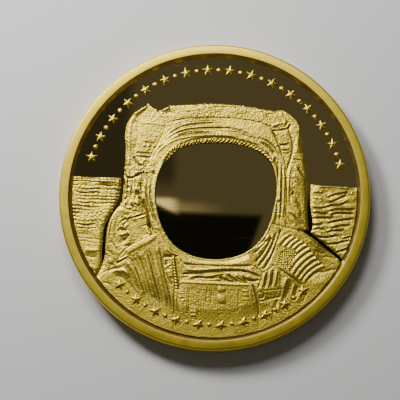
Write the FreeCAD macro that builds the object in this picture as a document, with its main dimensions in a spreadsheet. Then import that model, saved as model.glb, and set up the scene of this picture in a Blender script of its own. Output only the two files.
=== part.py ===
import FreeCAD
import Part
import Sketcher
import math
import os
from FreeCAD import Rotation, Vector

# A struck commemorative medal, gold plated, lying on its reverse.
# Millimetres; the origin is the centre of the resting face and +Z goes up through the obverse.
# +Y is the top of the design and +X its right-hand side.
# The blank carries a raised rim on each face, and the devices stand on its two mirror fields.

# Driving sizes: name, value in millimetres (degrees for angles), meaning
SIZES = [
    ("medal_diameter", 40.0, "diameter over the plain edge"),
    ("medal_thickness", 3.0, "thickness over both rims"),
    ("rim_height", 0.6, "height of each rim above its field"),
    ("rim_top_width", 1.25, "width of the rim's flat top with its bevelled corner"),
    ("rim_wall_run", 0.35, "how far the sloping inner wall of the rim runs inwards"),
    ("edge_bevel", 0.25, "bevel of the rim's outer corner"),
    ("relief_margin", 0.25, "mirror line between the relief and the foot of the rim"),
    ("crown_fall", 0.33, "fall of the gentle dome over the relief, from its summit to the relief's edge"),
    ("high_relief", 0.55, "summit of the hood and shoulders above the field"),
    ("middle_relief", 0.46, "summit of the sleeve, collar and side above the field"),
    ("low_relief", 0.34, "flat back of the pack above the field"),
    ("panel_height", 0.34, "flat chest panel above the field"),
    ("ground_height", 0.26, "moon ground above the field"),
    ("visor_height", 0.1, "mirror visor plate above the field"),
    ("band_height", 0.22, "flat band under the lower ornament, above the field"),
    ("ornament_inset", 1.45, "circle of the stars and beads, inside the relief's edge"),
    ("ornament_gap", 0.27, "gap between a star and a bead"),
    ("fold_floor", 0.3, "floor of the folds of the high relief above the field"),
    ("low_fold_floor", 0.22, "floor of the folds of the lower relief above the field"),
    ("star_radius", 0.82, "centre of a star to its points"),
    ("star_waist", 0.36, "centre of a star to its inner corners"),
    ("star_margin", 0.2, "flat band left inside the points of the lower stars"),
    ("star_height", 0.2, "height of a star above what it stands on"),
    ("star_top_share", 0.82, "size of a star's top, as a share of its foot"),
    ("upper_angle", 148.0, "angle that the stars over the figure take up, first to last"),
    ("lower_angle", 89.0, "angle that the stars under the figure take up, first to last"),
    ("bead_radius", 0.34, "centre of a bead to its corners"),
    ("bead_height", 0.2, "height of a bead above what it stands on"),
    ("bead_top_share", 0.8, "size of a bead's top, as a share of its foot"),
    ("hose_ring_width", 0.2, "width of one ring of the hose"),
    ("hose_ring_height", 0.14, "height of a ring above the hose"),
    ("hose_ring_draft_angle", 20.0, "draft angle of a ring's sides"),
    ("hose_rings", 11, "rings of the hose"),
    ("button_height", 0.1, "buttons above the chest panel"),
    ("button_draft_angle", 10.0, "draft angle of a button's sides"),
    ("moon_radius", 10.5, "radius of the moon on the reverse"),
    ("moon_height", 0.4, "height of the moon above the reverse field"),
    ("moon_slope", 0.5, "run of the moon's sloping edge"),
    ("crater_floor", 0.26, "floor of the moon's craters above the reverse field"),
    ("border_inset", 1.25, "circle of beads on the reverse, inside the relief's edge"),
    ("border_beads", 42, "beads on the reverse"),
]

doc = FreeCAD.newDocument("Medal")
sheet = doc.addObject("Spreadsheet::Sheet", "Sizes")
for row, (alias, value, meaning) in enumerate(SIZES, start=1):
    sheet.set("A%d" % row, meaning)
    sheet.set("B%d" % row, str(value))
    sheet.setAlias("B%d" % row, alias)
doc.recompute()


def size(alias):
    return float(getattr(sheet, alias))


# Expressions that several sub-parts share
OUTER_RADIUS = "Sizes.medal_diameter / 2"
RIM_TOP_RADIUS = OUTER_RADIUS + " - Sizes.rim_top_width"
RIM_FOOT_RADIUS = RIM_TOP_RADIUS + " - Sizes.rim_wall_run"
RELIEF_RADIUS = RIM_FOOT_RADIUS + " - Sizes.relief_margin"
ORNAMENT_CIRCLE = RELIEF_RADIUS + " - Sizes.ornament_inset"
BAND_RADIUS = ORNAMENT_CIRCLE + " - Sizes.star_radius - Sizes.star_margin"
CROWN_RADIUS = "((" + RELIEF_RADIUS + ") ^ 2 + Sizes.crown_fall ^ 2) / (2 * Sizes.crown_fall)"
FIELD_LEVEL = "Sizes.medal_thickness - Sizes.rim_height"
REVERSE_LEVEL = "Sizes.rim_height"

outer_radius = size("medal_diameter") / 2
rim_top_radius = outer_radius - size("rim_top_width")
rim_foot_radius = rim_top_radius - size("rim_wall_run")
relief_radius = rim_foot_radius - size("relief_margin")
ornament_circle = relief_radius - size("ornament_inset")
band_radius = ornament_circle - size("star_radius") - size("star_margin")
border_circle = relief_radius - size("border_inset")

# The engraver's drawing is in hundredths of the relief's radius
reduction = relief_radius / 100
# How close two lengths are when they count as the same
SAME = 0.001

nodes = []


def node(obj, name):
    obj.Label = name
    nodes.append(obj)
    return obj


def new_body(name, level):
    body = doc.addObject("PartDesign::Body", name)
    body.AllowCompound = True
    body.setExpression("Placement.Base.z", level)
    return body


def sketch_on(body, role, name):
    plane = [item for item in body.Origin.OriginFeatures if item.Role == role][0]
    sketch = body.newObject("Sketcher::SketchObject", name)
    sketch.AttachmentSupport = (plane, [""])
    sketch.MapMode = "FlatFace"
    return sketch


def bind(sketch, constraint, expression):
    index = sketch.addConstraint(constraint)
    sketch.setExpression("Constraints[%d]" % index, expression)


def bound_polygon(sketch, corners):
    # each corner is (x, y, expression of x, expression of y); None leaves it on that axis
    count = len(corners)
    for index, corner in enumerate(corners):
        following = corners[(index + 1) % count]
        start = Vector(corner[0], corner[1], 0)
        end = Vector(following[0], following[1], 0)
        sketch.addGeometry(Part.LineSegment(start, end))
    for index in range(count):
        sketch.addConstraint(Sketcher.Constraint("Coincident", index, 2, (index + 1) % count, 1))
    for index, corner in enumerate(corners):
        if corner[2] is None:
            sketch.addConstraint(Sketcher.Constraint("PointOnObject", index, 1, -2))
        else:
            bind(sketch, Sketcher.Constraint("DistanceX", -1, 1, index, 1, corner[0]), corner[2])
        if corner[3] is None:
            sketch.addConstraint(Sketcher.Constraint("PointOnObject", index, 1, -1))
        else:
            bind(sketch, Sketcher.Constraint("DistanceY", -1, 1, index, 1, corner[1]), corner[3])


def bound_circle(sketch, radius, expression):
    sketch.addGeometry(Part.Circle(Vector(0, 0, 0), Vector(0, 0, 1), radius))
    sketch.addConstraint(Sketcher.Constraint("Coincident", 0, 3, -1, 1))
    bind(sketch, Sketcher.Constraint("Radius", 0, radius), expression)


def add_pad(body, sketch, name, length):
    pad = body.newObject("PartDesign::Pad", name)
    pad.Profile = sketch
    pad.setExpression("Length", length)
    sketch.Visibility = False
    body.Tip = pad
    return pad


def add_revolution(body, sketch, name, axis="V_Axis"):
    turn = body.newObject("PartDesign::Revolution", name)
    turn.Profile = sketch
    turn.ReferenceAxis = (sketch, [axis])
    turn.Angle = 360
    body.Tip = turn
    return turn


# Blank: the disc between the two fields

def make_blank():
    body = new_body("Blank", REVERSE_LEVEL)
    sketch = sketch_on(body, "XY_Plane", "BlankOutline")
    bound_circle(sketch, outer_radius, OUTER_RADIUS)
    add_pad(body, sketch, "BlankDisc", "Sizes.medal_thickness - 2 * Sizes.rim_height")
    return node(body, "blank")


# Rim: a turned ring with a sloping inner wall and a bevelled outer corner, one on each face

def make_rim(name, level, way):
    body = new_body(name + "_body", level)
    sketch = sketch_on(body, "XZ_Plane", name + "_section")
    top = way * size("rim_height")
    top_text = "%d * Sizes.rim_height" % way
    bound_polygon(sketch, [
        (rim_foot_radius, 0, RIM_FOOT_RADIUS, None),
        (outer_radius, 0, OUTER_RADIUS, None),
        (outer_radius, top, OUTER_RADIUS, top_text),
        (rim_top_radius, top, RIM_TOP_RADIUS, top_text),
    ])
    ring = add_revolution(body, sketch, name + "_ring")
    doc.recompute()
    corner = None
    for index, edge in enumerate(ring.Shape.Edges, start=1):
        box = edge.BoundBox
        level_ring = abs(box.XMax - outer_radius) < SAME and box.ZLength < SAME
        if level_ring and abs(box.ZMax - top) < SAME:
            corner = "Edge%d" % index
    bevel = body.newObject("PartDesign::Chamfer", name + "_corner")
    bevel.Base = (ring, [corner])
    bevel.setExpression("Size", "Sizes.edge_bevel")
    body.Tip = bevel
    return node(body, name)


# The drawing of the relief, from the medal's centre, in hundredths of the relief's radius.
# Each curve is drawn once and shared by the two devices that it parts,
# so that neighbours stand wall to wall. "line" runs straight from point to point,
# "curve" is a smooth run of arcs through its points.

CURVES = {
    "pack_left_top": ("line", [(-41.9, 60.6), (-49.9, 65.6), (-60.1, 57.9)]),
    "pack_left_side": ("curve", [(-60.1, 57.9), (-65.0, 46.3), (-64.2, 30.3), (-64.5, 17.1)]),
    "pack_sill": ("curve", [(-64.5, 17.1), (-57.3, 16.3), (-49.9, 18.2)]),
    "hood_left_upper": ("curve", [(-49.9, 18.2), (-45.7, 28.1), (-39.1, 41.9), (-36.9, 51.8)]),
    "pack_notch": ("line", [(-36.9, 51.8), (-41.9, 60.6)]),
    "pack_top_corner": ("line", [(-41.9, 60.6), (-34.7, 64.7)]),
    "pack_top_edge": ("curve", [(-34.7, 64.7), (-14.3, 66.4), (1.1, 67.2), (19.8, 65.8), (41.3, 63.1)]),
    "pack_right_corner": ("line", [(41.3, 63.1), (45.7, 63.9)]),
    "pack_right_seam": ("line", [(45.7, 63.9), (50.7, 55.1), (49.0, 51.8), (39.1, 50.1)]),
    "hood_top": ("curve", [(39.1, 50.1), (28.7, 54.8), (13.8, 56.5), (-2.8, 57.0), (-19.8, 55.6), (-36.9, 51.8)]),
    "pack_right_top": ("curve", [(45.7, 63.9), (52.9, 60.1), (58.4, 54.5), (59.8, 47.4)]),
    "pack_right_upper": ("line", [(59.8, 47.4), (60.3, 30.9)]),
    "pack_right_side": ("curve", [(60.3, 30.9), (63.4, 25.3), (64.7, 8.3), (65.6, -8.3), (66.9, -22.0)]),
    "pack_right_foot": ("line", [(66.9, -22.0), (61.7, -23.4), (51.2, -21.5)]),
    "hood_right": ("curve", [(51.2, -21.5), (51.2, -5.5), (50.7, 11.0), (48.5, 29.2), (39.1, 50.1)]),
    "hood_left_middle": ("curve", [(-49.9, 18.2), (-50.4, 5.5), (-48.5, -12.7)]),
    "hood_left_lower": ("curve", [(-48.5, -12.7), (-44.6, -22.6), (-39.7, -28.7)]),
    "collar_left_end": ("line", [(-39.7, -28.7), (-30.3, -16.5)]),
    "visor_chord": ("line", [(-30.3, -16.5), (30.3, -16.5)]),
    "folds_right_top": ("line", [(30.3, -16.5), (51.2, -21.5)]),
    "collar_chord": ("line", [(-30.3, -16.5), (19.3, -27.5)]),
    "collar_right_end": ("line", [(19.3, -27.5), (29.2, -49.0)]),
    "folds_chord": ("line", [(19.3, -27.5), (30.3, -16.5)]),
    "collar_bottom": ("line", [(29.2, -49.0), (-19.8, -49.3), (-24.5, -44.6)]),
    "hose_top": ("line", [(-24.5, -44.6), (-28.7, -44.4)]),
    "fitting_top": ("line", [(-28.7, -44.4), (-34.2, -44.1)]),
    "shoulder_left_neck": ("curve", [(-34.2, -44.1), (-36.1, -38.0), (-39.7, -28.7)]),
    "neck_right_upper": ("line", [(29.2, -49.0), (36.4, -54.0)]),
    "folds_right_foot": ("line", [(36.4, -54.0), (43.5, -48.5)]),
    "folds_right_side": ("curve", [(43.5, -48.5), (44.4, -36.4), (47.4, -27.0), (51.2, -21.5)]),
    "neck_right_lower": ("line", [(36.4, -54.0), (33.6, -61.7), (28.7, -61.7)]),
    "panel_top": ("line", [(28.7, -61.7), (-22.0, -60.6)]),
    "hose_right": ("curve", [(-22.0, -60.6), (-22.6, -54.0), (-24.5, -44.6)]),
    "hose_right_foot": ("line", [(-25.9, -67.8), (-22.0, -67.8), (-22.0, -60.6)]),
    "hose_left": ("curve", [(-28.7, -44.4), (-27.3, -52.9), (-26.2, -60.6), (-25.9, -67.8)]),
    "fitting_left": ("curve", [(-34.2, -44.1), (-33.1, -55.1), (-28.7, -63.4), (-25.9, -67.8)]),
    "panel_left": ("curve", [(-25.9, -67.8), (-25.3, -88.2), (-24.2, -115.7)]),
    "panel_foot": ("line", [(-24.2, -115.7), (35.3, -115.7)]),
    "panel_right": ("curve", [(35.3, -115.7), (33.6, -79.3), (31.7, -69.4), (28.7, -61.7)]),
    "shoulder_left_top": ("curve", [(-39.7, -28.7), (-50.7, -33.9), (-61.7, -41.3), (-71.1, -53.4), (-81.0, -60.6)]),
    "shoulder_left_foot": ("line", [(-81.0, -60.6), (-110.2, -82.6), (-24.2, -115.7)]),
    "sleeve_side": ("curve", [(-81.0, -60.6), (-76.0, -47.4), (-75.5, -30.3), (-72.7, -18.2), (-66.4, -9.4)]),
    "sleeve_top": ("curve", [(-66.4, -9.4), (-57.3, -13.2), (-48.5, -12.7)]),
    "harness_side": ("curve", [(-66.4, -9.4), (-64.7, 1.1), (-64.5, 17.1)]),
    "shoulder_right_top": ("curve", [(61.7, -23.4), (68.3, -26.7), (78.2, -34.2), (112.9, -61.7)]),
    "shoulder_right_neck": ("line", [(51.2, -21.5), (61.7, -23.4)]),
    "shoulder_right_foot": ("line", [(112.9, -61.7), (85.4, -82.6)]),
    "shoulder_right_seam": ("curve", [(85.4, -82.6), (72.7, -68.9), (61.2, -60.1), (43.5, -48.5)]),
    "side_right_foot": ("line", [(85.4, -82.6), (35.3, -115.7)]),
    "strap_edge": ("line", [(33.1, -67.8), (50.1, -65.0), (49.0, -70.5), (34.2, -74.4), (33.1, -67.8)]),
    "ground_left_top": ("line", [(-121.2, -63.4), (-121.2, 11.0), (-66.9, 10.7)]),
    "ground_left_side": ("curve", [(-66.9, 10.7), (-67.8, -3.3), (-73.3, -13.8), (-77.7, -24.8),
                                   (-78.8, -41.3), (-79.3, -54.5), (-86.0, -63.4)]),
    "ground_left_foot": ("line", [(-86.0, -63.4), (-121.2, -63.4)]),
    "ground_right_top": ("line", [(68.3, 10.5), (121.2, 8.3), (121.2, -66.1)]),
    "ground_right_foot": ("curve", [(121.2, -66.1), (86.5, -35.8), (78.2, -29.2), (68.6, -22.0)]),
    "ground_right_side": ("curve", [(68.6, -22.0), (70.2, -17.1), (68.3, -5.5), (68.3, 10.5)]),
}

# The visor's rounded outline, squarer above than below
VISOR_POINTS = [
    (1.1, 38.6), (31.4, 32.2), (43.3, -2.2), (31.4, -33.9), (1.7, -45.5), (-28.7, -34.4), (-41.6, 2.2), (-29.2, 31.1),
]

# Each device's closed outline, as curves in order
OUTLINES = {
    "hood": ["hood_top", "hood_left_upper", "hood_left_middle", "hood_left_lower",
             "collar_left_end", "visor_chord", "folds_right_top", "hood_right"],
    "pack_left": ["pack_left_top", "pack_left_side", "pack_sill", "hood_left_upper", "pack_notch"],
    "pack_top": ["pack_top_corner", "pack_top_edge", "pack_right_corner", "pack_right_seam",
                 "hood_top", "pack_notch"],
    "pack_right": ["pack_right_top", "pack_right_upper", "pack_right_side", "pack_right_foot",
                   "hood_right", "pack_right_seam"],
    "harness_left": ["pack_sill", "hood_left_middle", "sleeve_top", "harness_side"],
    "sleeve_left": ["sleeve_side", "sleeve_top", "hood_left_lower", "shoulder_left_top"],
    "shoulder_left": ["shoulder_left_top", "shoulder_left_foot", "panel_left", "fitting_left",
                      "shoulder_left_neck"],
    "collar": ["collar_left_end", "collar_chord", "collar_right_end", "collar_bottom",
               "hose_top", "fitting_top", "shoulder_left_neck"],
    "folds_right": ["folds_right_top", "folds_right_side", "folds_right_foot",
                    "neck_right_upper", "collar_right_end", "folds_chord"],
    "neck_folds": ["collar_bottom", "neck_right_upper", "neck_right_lower", "panel_top", "hose_right"],
    "hose_fitting": ["fitting_top", "hose_left", "fitting_left"],
    "shoulder_right": ["shoulder_right_neck", "shoulder_right_top", "shoulder_right_foot",
                       "shoulder_right_seam", "folds_right_side"],
    "side_right": ["neck_right_lower", "panel_right", "side_right_foot",
                   "shoulder_right_seam", "folds_right_foot"],
    "chest_panel": ["hose_right_foot", "panel_top", "panel_right", "panel_foot", "panel_left"],
    "hose": ["hose_left", "hose_right_foot", "hose_right", "hose_top"],
    "strap_right": ["strap_edge"],
    "ground_left": ["ground_left_top", "ground_left_side", "ground_left_foot"],
    "ground_right": ["ground_right_top", "ground_right_foot", "ground_right_side"],
}

# Folds: start, end, width of the hollow at its middle, bow of its middle to the left of its run
FOLDS = {
    "hood": [
        ((-36.4, 35.3), (38.6, 33.6), 1.7, 9.6),
        ((-36.9, 41.9), (38.6, 40.2), 1.9, 8.5),
        ((-32.0, 47.9), (33.1, 47.4), 1.7, 5.8),
        ((-44.1, 28.7), (-43.0, -19.8), 1.4, -2.5),
        ((45.2, 28.7), (45.7, -18.2), 1.5, 1.7),
        ((48.2, 25.3), (48.5, -17.6), 1.2, 1.0),
    ],
    "shoulder_left": [
        ((-67.2, -53.4), (-57.3, -72.7), 1.7, 1.9),
        ((-62.3, -47.4), (-49.6, -76.6), 2.0, 2.8),
        ((-57.9, -43.0), (-43.5, -79.3), 2.0, 3.0),
        ((-52.9, -39.7), (-38.6, -81.5), 1.9, 2.8),
        ((-47.4, -36.9), (-34.7, -82.6), 1.9, 2.2),
        ((-43.0, -34.7), (-30.9, -83.7), 1.7, 1.7),
        ((-39.1, -35.8), (-28.7, -74.4), 1.4, 0.6),
    ],
    "folds_right": [
        ((44.1, -22.6), (30.9, -47.4), 1.4, 1.7),
        ((46.3, -24.8), (34.7, -49.6), 1.5, 1.4),
        ((46.3, -29.8), (38.6, -50.7), 1.4, 0.6),
    ],
    "side_right": [
        ((38.0, -54.5), (36.4, -65.0), 1.1, 0.3),
        ((41.3, -52.9), (40.2, -63.9), 1.1, 0.3),
        ((44.6, -51.2), (45.2, -63.4), 1.2, 0.0),
        ((62.3, -62.8), (54.5, -78.2), 1.7, 1.1),
        ((68.9, -67.8), (64.5, -73.8), 1.4, 0.6),
        ((54.5, -58.4), (51.2, -76.0), 1.5, 0.6),
        ((46.3, -72.7), (41.9, -83.7), 1.4, 0.6),
        ((39.7, -74.9), (36.9, -83.7), 1.1, 0.0),
    ],
    "neck_folds": [
        ((-20.9, -56.2), (30.9, -53.4), 1.1, 1.4),
        ((5.5, -55.6), (14.3, -59.5), 1.0, 0.0),
        ((14.3, -55.1), (23.7, -60.1), 1.0, 0.0),
        ((23.7, -55.6), (30.9, -59.5), 1.0, 0.0),
    ],
    "sleeve_left": [
        ((-69.4, -19.8), (-49.6, -17.6), 1.3, 2.2),
        ((-72.7, -34.2), (-66.1, -46.3), 1.3, 0.6),
        ((-69.4, -26.4), (-62.8, -36.4), 1.3, 0.6),
    ],
}

# Ribs of the right shoulder: the first hollow, the step to the next, and how many
RIB_START = (52.3, -27.0)
RIB_END = (45.7, -41.9)
RIB_STEP = (4.0, -3.4)
RIB_HOLLOW = 1.7
RIB_BOW = 0.7
RIB_COUNT = 9


def drawn(point):
    return Vector(point[0] * reduction, point[1] * reduction, 0)


def arc_from(start, way, end):
    # the arc that leaves start along way and reaches end, or a straight line
    chord = end - start
    turn = math.atan2(chord.x * way.y - chord.y * way.x, chord.dot(way))
    if abs(turn) < SAME:
        return Part.LineSegment(start, end)
    across = Vector(-chord.y, chord.x, 0)
    middle = (start + end) * 0.5 + across * (math.tan(turn / 2) / 2)
    return Part.Arc(start, middle, end)


def tangent_arcs(start, start_way, end, end_way):
    # two arcs that meet smoothly, leaving and arriving along the given ways
    chord = end - start
    ways = start_way + end_way
    spread = 2 * (1 - start_way.dot(end_way))
    along = chord.dot(ways)
    if spread < SAME:
        reach = chord.dot(chord) / (2 * along)
    else:
        reach = (math.sqrt(along ** 2 + spread * chord.dot(chord)) - along) / spread
    meeting = (start + end + (start_way - end_way) * reach) * 0.5
    return [arc_from(start, start_way, meeting), arc_from(end, end_way * -1, meeting)]


def smooth_edges(places, closed=False):
    # a smooth run of arcs; each inner point is passed parallel to the line between its neighbours
    count = len(places)
    ways = []
    for index in range(count):
        before = places[index - 1]
        after = places[(index + 1) % count]
        ways.append((after - before).normalize())
    if not closed:
        first = (places[1] - places[0]).normalize()
        last = (places[-1] - places[-2]).normalize()
        ways[0] = first * (2 * first.dot(ways[1])) - ways[1]
        ways[-1] = last * (2 * last.dot(ways[-2])) - ways[-2]
    edges = []
    for index in range(count if closed else count - 1):
        following = (index + 1) % count
        edges += tangent_arcs(places[index], ways[index], places[following], ways[following])
    return edges


def curve_edges(name):
    kind, points = CURVES[name]
    places = [drawn(point) for point in points]
    if kind == "curve":
        return smooth_edges(places)
    return [Part.LineSegment(places[i], places[i + 1]) for i in range(len(places) - 1)]


def draw_outline(sketch, names):
    for name in names:
        for edge in curve_edges(name):
            sketch.addGeometry(edge)


def draw_leaf(sketch, fold):
    # a fold's hollow is a leaf of two arcs that meet at both ends
    start = drawn(fold[0])
    end = drawn(fold[1])
    along = end - start
    across = Vector(-along.y, along.x, 0).normalize()
    middle = (start + end) * 0.5 + across * (fold[3] * reduction)
    half = across * (fold[2] * reduction / 2)
    sketch.addGeometry(Part.Arc(start, middle + half, end))
    sketch.addGeometry(Part.Arc(end, middle - half, start))


def relief_plate(name, top):
    body = new_body(name + "_plate", FIELD_LEVEL)
    sketch = sketch_on(body, "XY_Plane", name + "_outline")
    draw_outline(sketch, OUTLINES[name])
    add_pad(body, sketch, name + "_block", top)
    return body


def cut_folds(body, name, folds, floor):
    sketch = sketch_on(body, "XY_Plane", name + "_folds")
    sketch.setExpression("AttachmentOffset.Base.z", floor)
    for fold in folds:
        draw_leaf(sketch, fold)
    pocket = body.newObject("PartDesign::Pocket", name + "_hollows")
    pocket.Profile = sketch
    pocket.setExpression("Length", "Sizes.rim_height")
    pocket.Reversed = True
    body.Tip = pocket
    return pocket


def joined(kind, name, base, tool):
    result = doc.addObject("Part::" + kind, name)
    result.Base = base
    result.Tool = tool
    return result


# What bounds the relief: the relief's circle, the flat band of the lower ornament and a gentle dome
# with its summit a little under the middle of the design

CROWN_CENTRE = (0.0, -16.5)

def make_bounds():
    body = new_body("ReliefBounds", FIELD_LEVEL)
    sketch = sketch_on(body, "XZ_Plane", "ReliefSection")
    roof = size("rim_height")
    band = size("band_height")
    bound_polygon(sketch, [
        (0, 0, None, None),
        (relief_radius, 0, RELIEF_RADIUS, None),
        (relief_radius, band, RELIEF_RADIUS, "Sizes.band_height"),
        (band_radius, band, BAND_RADIUS, "Sizes.band_height"),
        (band_radius, roof, BAND_RADIUS, "Sizes.rim_height"),
        (0, roof, None, "Sizes.rim_height"),
    ])
    add_revolution(body, sketch, "ReliefRoof")
    return body


def make_level(name, height, bounds):
    ball = doc.addObject("Part::Sphere", name + "_dome")
    ball.setExpression("Radius", CROWN_RADIUS)
    ball.Placement.Base = drawn(CROWN_CENTRE)
    summit = FIELD_LEVEL + " + Sizes." + height
    ball.setExpression("Placement.Base.z", summit + " - " + CROWN_RADIUS)
    return joined("Common", name, bounds, ball)


def make_disc(name, height):
    body = new_body(name, FIELD_LEVEL)
    sketch = sketch_on(body, "XY_Plane", name + "_circle")
    bound_circle(sketch, relief_radius, RELIEF_RADIUS)
    add_pad(body, sketch, name + "_slab", height)
    return body


def draw_visor(sketch):
    for edge in smooth_edges([drawn(point) for point in VISOR_POINTS], closed=True):
        sketch.addGeometry(edge)


def make_visor():
    body = new_body("VisorPlate", FIELD_LEVEL)
    sketch = sketch_on(body, "XY_Plane", "VisorOutline")
    draw_visor(sketch)
    add_pad(body, sketch, "VisorDisc", "Sizes.visor_height")
    return node(body, "visor")


def make_visor_opening():
    body = new_body("VisorOpening", FIELD_LEVEL)
    sketch = sketch_on(body, "XY_Plane", "VisorOpeningOutline")
    draw_visor(sketch)
    add_pad(body, sketch, "VisorOpeningBlock", "Sizes.rim_height")
    return body


def make_device(name, level, opening=None, floor=None, top="Sizes.rim_height"):
    body = relief_plate(name, top)
    if name in FOLDS:
        cut_folds(body, name, FOLDS[name], floor)
    piece = joined("Common", name + "_relief", body, level)
    if opening is not None:
        piece = joined("Cut", name + "_opened", piece, opening)
    return node(piece, name)


def make_shoulder_right(level, floor):
    body = relief_plate("shoulder_right", "Sizes.rim_height")
    ribs = []
    for index in range(RIB_COUNT):
        shift_x = RIB_STEP[0] * index
        shift_y = RIB_STEP[1] * index
        start = (RIB_START[0] + shift_x, RIB_START[1] + shift_y)
        end = (RIB_END[0] + shift_x, RIB_END[1] + shift_y)
        ribs.append((start, end, RIB_HOLLOW, RIB_BOW))
    cut_folds(body, "shoulder_right", ribs, floor)
    return node(joined("Common", "shoulder_right_relief", body, level), "shoulder_right")


def make_side_right(level, floor, strap):
    body = relief_plate("side_right", "Sizes.rim_height")
    cut_folds(body, "side_right", FOLDS["side_right"], floor)
    shaped = joined("Common", "side_right_relief", body, level)
    return node(joined("Cut", "side_right_opened", shaped, strap), "side_right")


# Hose: a low strip with a row of rings across it

HOSE_TOP = (-26.6, -46.6)
HOSE_FOOT = (-24.0, -66.4)
HOSE_RING_LENGTH = 3.4


def draw_block(sketch, centre, along, across):
    # a rectangle about its centre, from the half sides given as vectors
    corners = [centre - along - across, centre + along - across,
               centre + along + across, centre - along + across]
    for index, corner in enumerate(corners):
        sketch.addGeometry(Part.LineSegment(corner, corners[(index + 1) % len(corners)]))


def make_hose(level):
    body = relief_plate("hose", "Sizes.low_fold_floor")
    sketch = sketch_on(body, "XY_Plane", "HoseRings")
    sketch.setExpression("AttachmentOffset.Base.z", "Sizes.low_fold_floor")
    count = int(size("hose_rings"))
    top = drawn(HOSE_TOP)
    foot = drawn(HOSE_FOOT)
    along = (foot - top).normalize()
    across = Vector(-along.y, along.x, 0) * (HOSE_RING_LENGTH * reduction / 2)
    for index in range(count):
        centre = top + (foot - top) * (index / (count - 1))
        draw_block(sketch, centre, along * (size("hose_ring_width") / 2), across)
    rings = add_pad(body, sketch, "hose_rings", "Sizes.hose_ring_height")
    rings.setExpression("TaperAngle", "-Sizes.hose_ring_draft_angle")
    return node(joined("Common", "hose_relief", body, level), "hose")


# Buttons of the chest panel: centre, width and length of each raised block
BUTTONS = [
    ((7.4, -66.7), 5.0, 3.9),
    ((7.7, -73.6), 6.1, 6.1),
    ((24.2, -67.2), 5.0, 1.7),
    ((24.5, -70.2), 5.0, 1.7),
    ((24.8, -73.3), 5.0, 1.7),
]
# Two more on the left, each so far up from the edge of the flat band
FOOT_BUTTON_X = -11.6
FOOT_BUTTON_RISES = [2.8, 5.5]
FOOT_BUTTON_WIDTH = 4.1
FOOT_BUTTON_LENGTH = 1.5


def make_buttons():
    body = new_body("ChestButtons", FIELD_LEVEL + " + Sizes.panel_height")
    sketch = sketch_on(body, "XY_Plane", "ButtonOutlines")
    blocks = list(BUTTONS)
    for rise in FOOT_BUTTON_RISES:
        foot_centre = (FOOT_BUTTON_X, rise - band_radius / reduction)
        blocks.append((foot_centre, FOOT_BUTTON_WIDTH, FOOT_BUTTON_LENGTH))
    for centre, width, length in blocks:
        draw_block(sketch, drawn(centre), drawn((0, length / 2)), drawn((width / 2, 0)))
    pad = add_pad(body, sketch, "ButtonBlocks", "Sizes.button_height")
    pad.setExpression("TaperAngle", "-Sizes.button_draft_angle")
    return node(body, "chest_buttons")


# Stars and beads that stand in the place of the inscriptions, on arcs about the centre

STAR_POINTS = 5
BEAD_SIDES = 6


def arc_row(body, feature, name, angle, count):
    # copies of the feature about the medal's axis, the first one where it stands
    row = body.newObject("PartDesign::PolarPattern", name + "_row")
    row.Originals = [feature]
    axis = [item for item in body.Origin.OriginFeatures if item.Role == "Z_Axis"][0]
    row.Axis = (axis, [""])
    row.setExpression("Angle", angle)
    row.setExpression("Occurrences", count)
    body.Tip = row
    return node(body, name)


# One step of a row is a star, a bead and the gap on each side of the bead;
# a row has as many steps as its arc holds
ORNAMENT_STEP = "(2 * (Sizes.star_radius + Sizes.bead_radius + Sizes.ornament_gap))"
ornament_step = 2 * (size("star_radius") + size("bead_radius") + size("ornament_gap"))


def row_steps(arc):
    return math.floor(math.radians(size(arc)) * ornament_circle / ornament_step)


def row_steps_text(arc):
    return "floor(Sizes.%s * pi / 180 * (%s) / %s)" % (arc, ORNAMENT_CIRCLE, ORNAMENT_STEP)


def draw_polygon(sketch, circle, reaches):
    # corners at even angles about a centre on the X axis, each at its own reach
    corners = []
    for index, reach in enumerate(reaches):
        turn = 2 * math.pi * index / len(reaches)
        corners.append(Vector(circle + reach * math.cos(turn), reach * math.sin(turn), 0))
    for index, corner in enumerate(corners):
        sketch.addGeometry(Part.LineSegment(corner, corners[(index + 1) % len(corners)]))


def make_ornament(name, level, circle, reaches, kind):
    # the die's draft leans every wall inwards, from the outline at the foot to a smaller one on top
    body = new_body(name + "_body", level)
    foot = sketch_on(body, "XY_Plane", name + "_foot")
    draw_polygon(foot, circle, reaches)
    top = sketch_on(body, "XY_Plane", name + "_top")
    top.setExpression("AttachmentOffset.Base.z", "Sizes.%s_height" % kind)
    share = size(kind + "_top_share")
    draw_polygon(top, circle, [reach * share for reach in reaches])
    block = body.newObject("PartDesign::AdditiveLoft", name + "_block")
    block.Profile = foot
    block.Sections = [top]
    block.Ruled = True
    return body, block


def make_stars(name, level, arc, middle):
    body, star = make_ornament(name, level, ornament_circle, star_reaches, "star")
    body.Placement.Rotation = Rotation(Vector(0, 0, 1), middle - size(arc) / 2)
    return arc_row(body, star, name, "Sizes." + arc, row_steps_text(arc) + " + 1")


def make_beads(name, level, arc, middle):
    # one bead in each gap between two stars
    body, bead = make_ornament(name, level, ornament_circle, bead_reaches, "bead")
    steps = row_steps_text(arc)
    first = middle - size(arc) / 2 * (1 - 1 / row_steps(arc))
    body.Placement.Rotation = Rotation(Vector(0, 0, 1), first)
    return arc_row(body, bead, name, "Sizes.%s * (%s - 1) / %s" % (arc, steps, steps), steps)


star_reaches = [size("star_radius"), size("star_waist")] * STAR_POINTS
bead_reaches = [size("bead_radius")] * BEAD_SIDES


# Reverse: a raised moon with shallow craters inside a border of beads, facing down

CRATERS = [
    ((-17.6, 18.7), 10.5),
    ((16.0, 12.1), 6.9),
    ((-3.3, -16.5), 12.7),
]
FACE_DOWN = Rotation(Vector(1, 0, 0), 180)


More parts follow.
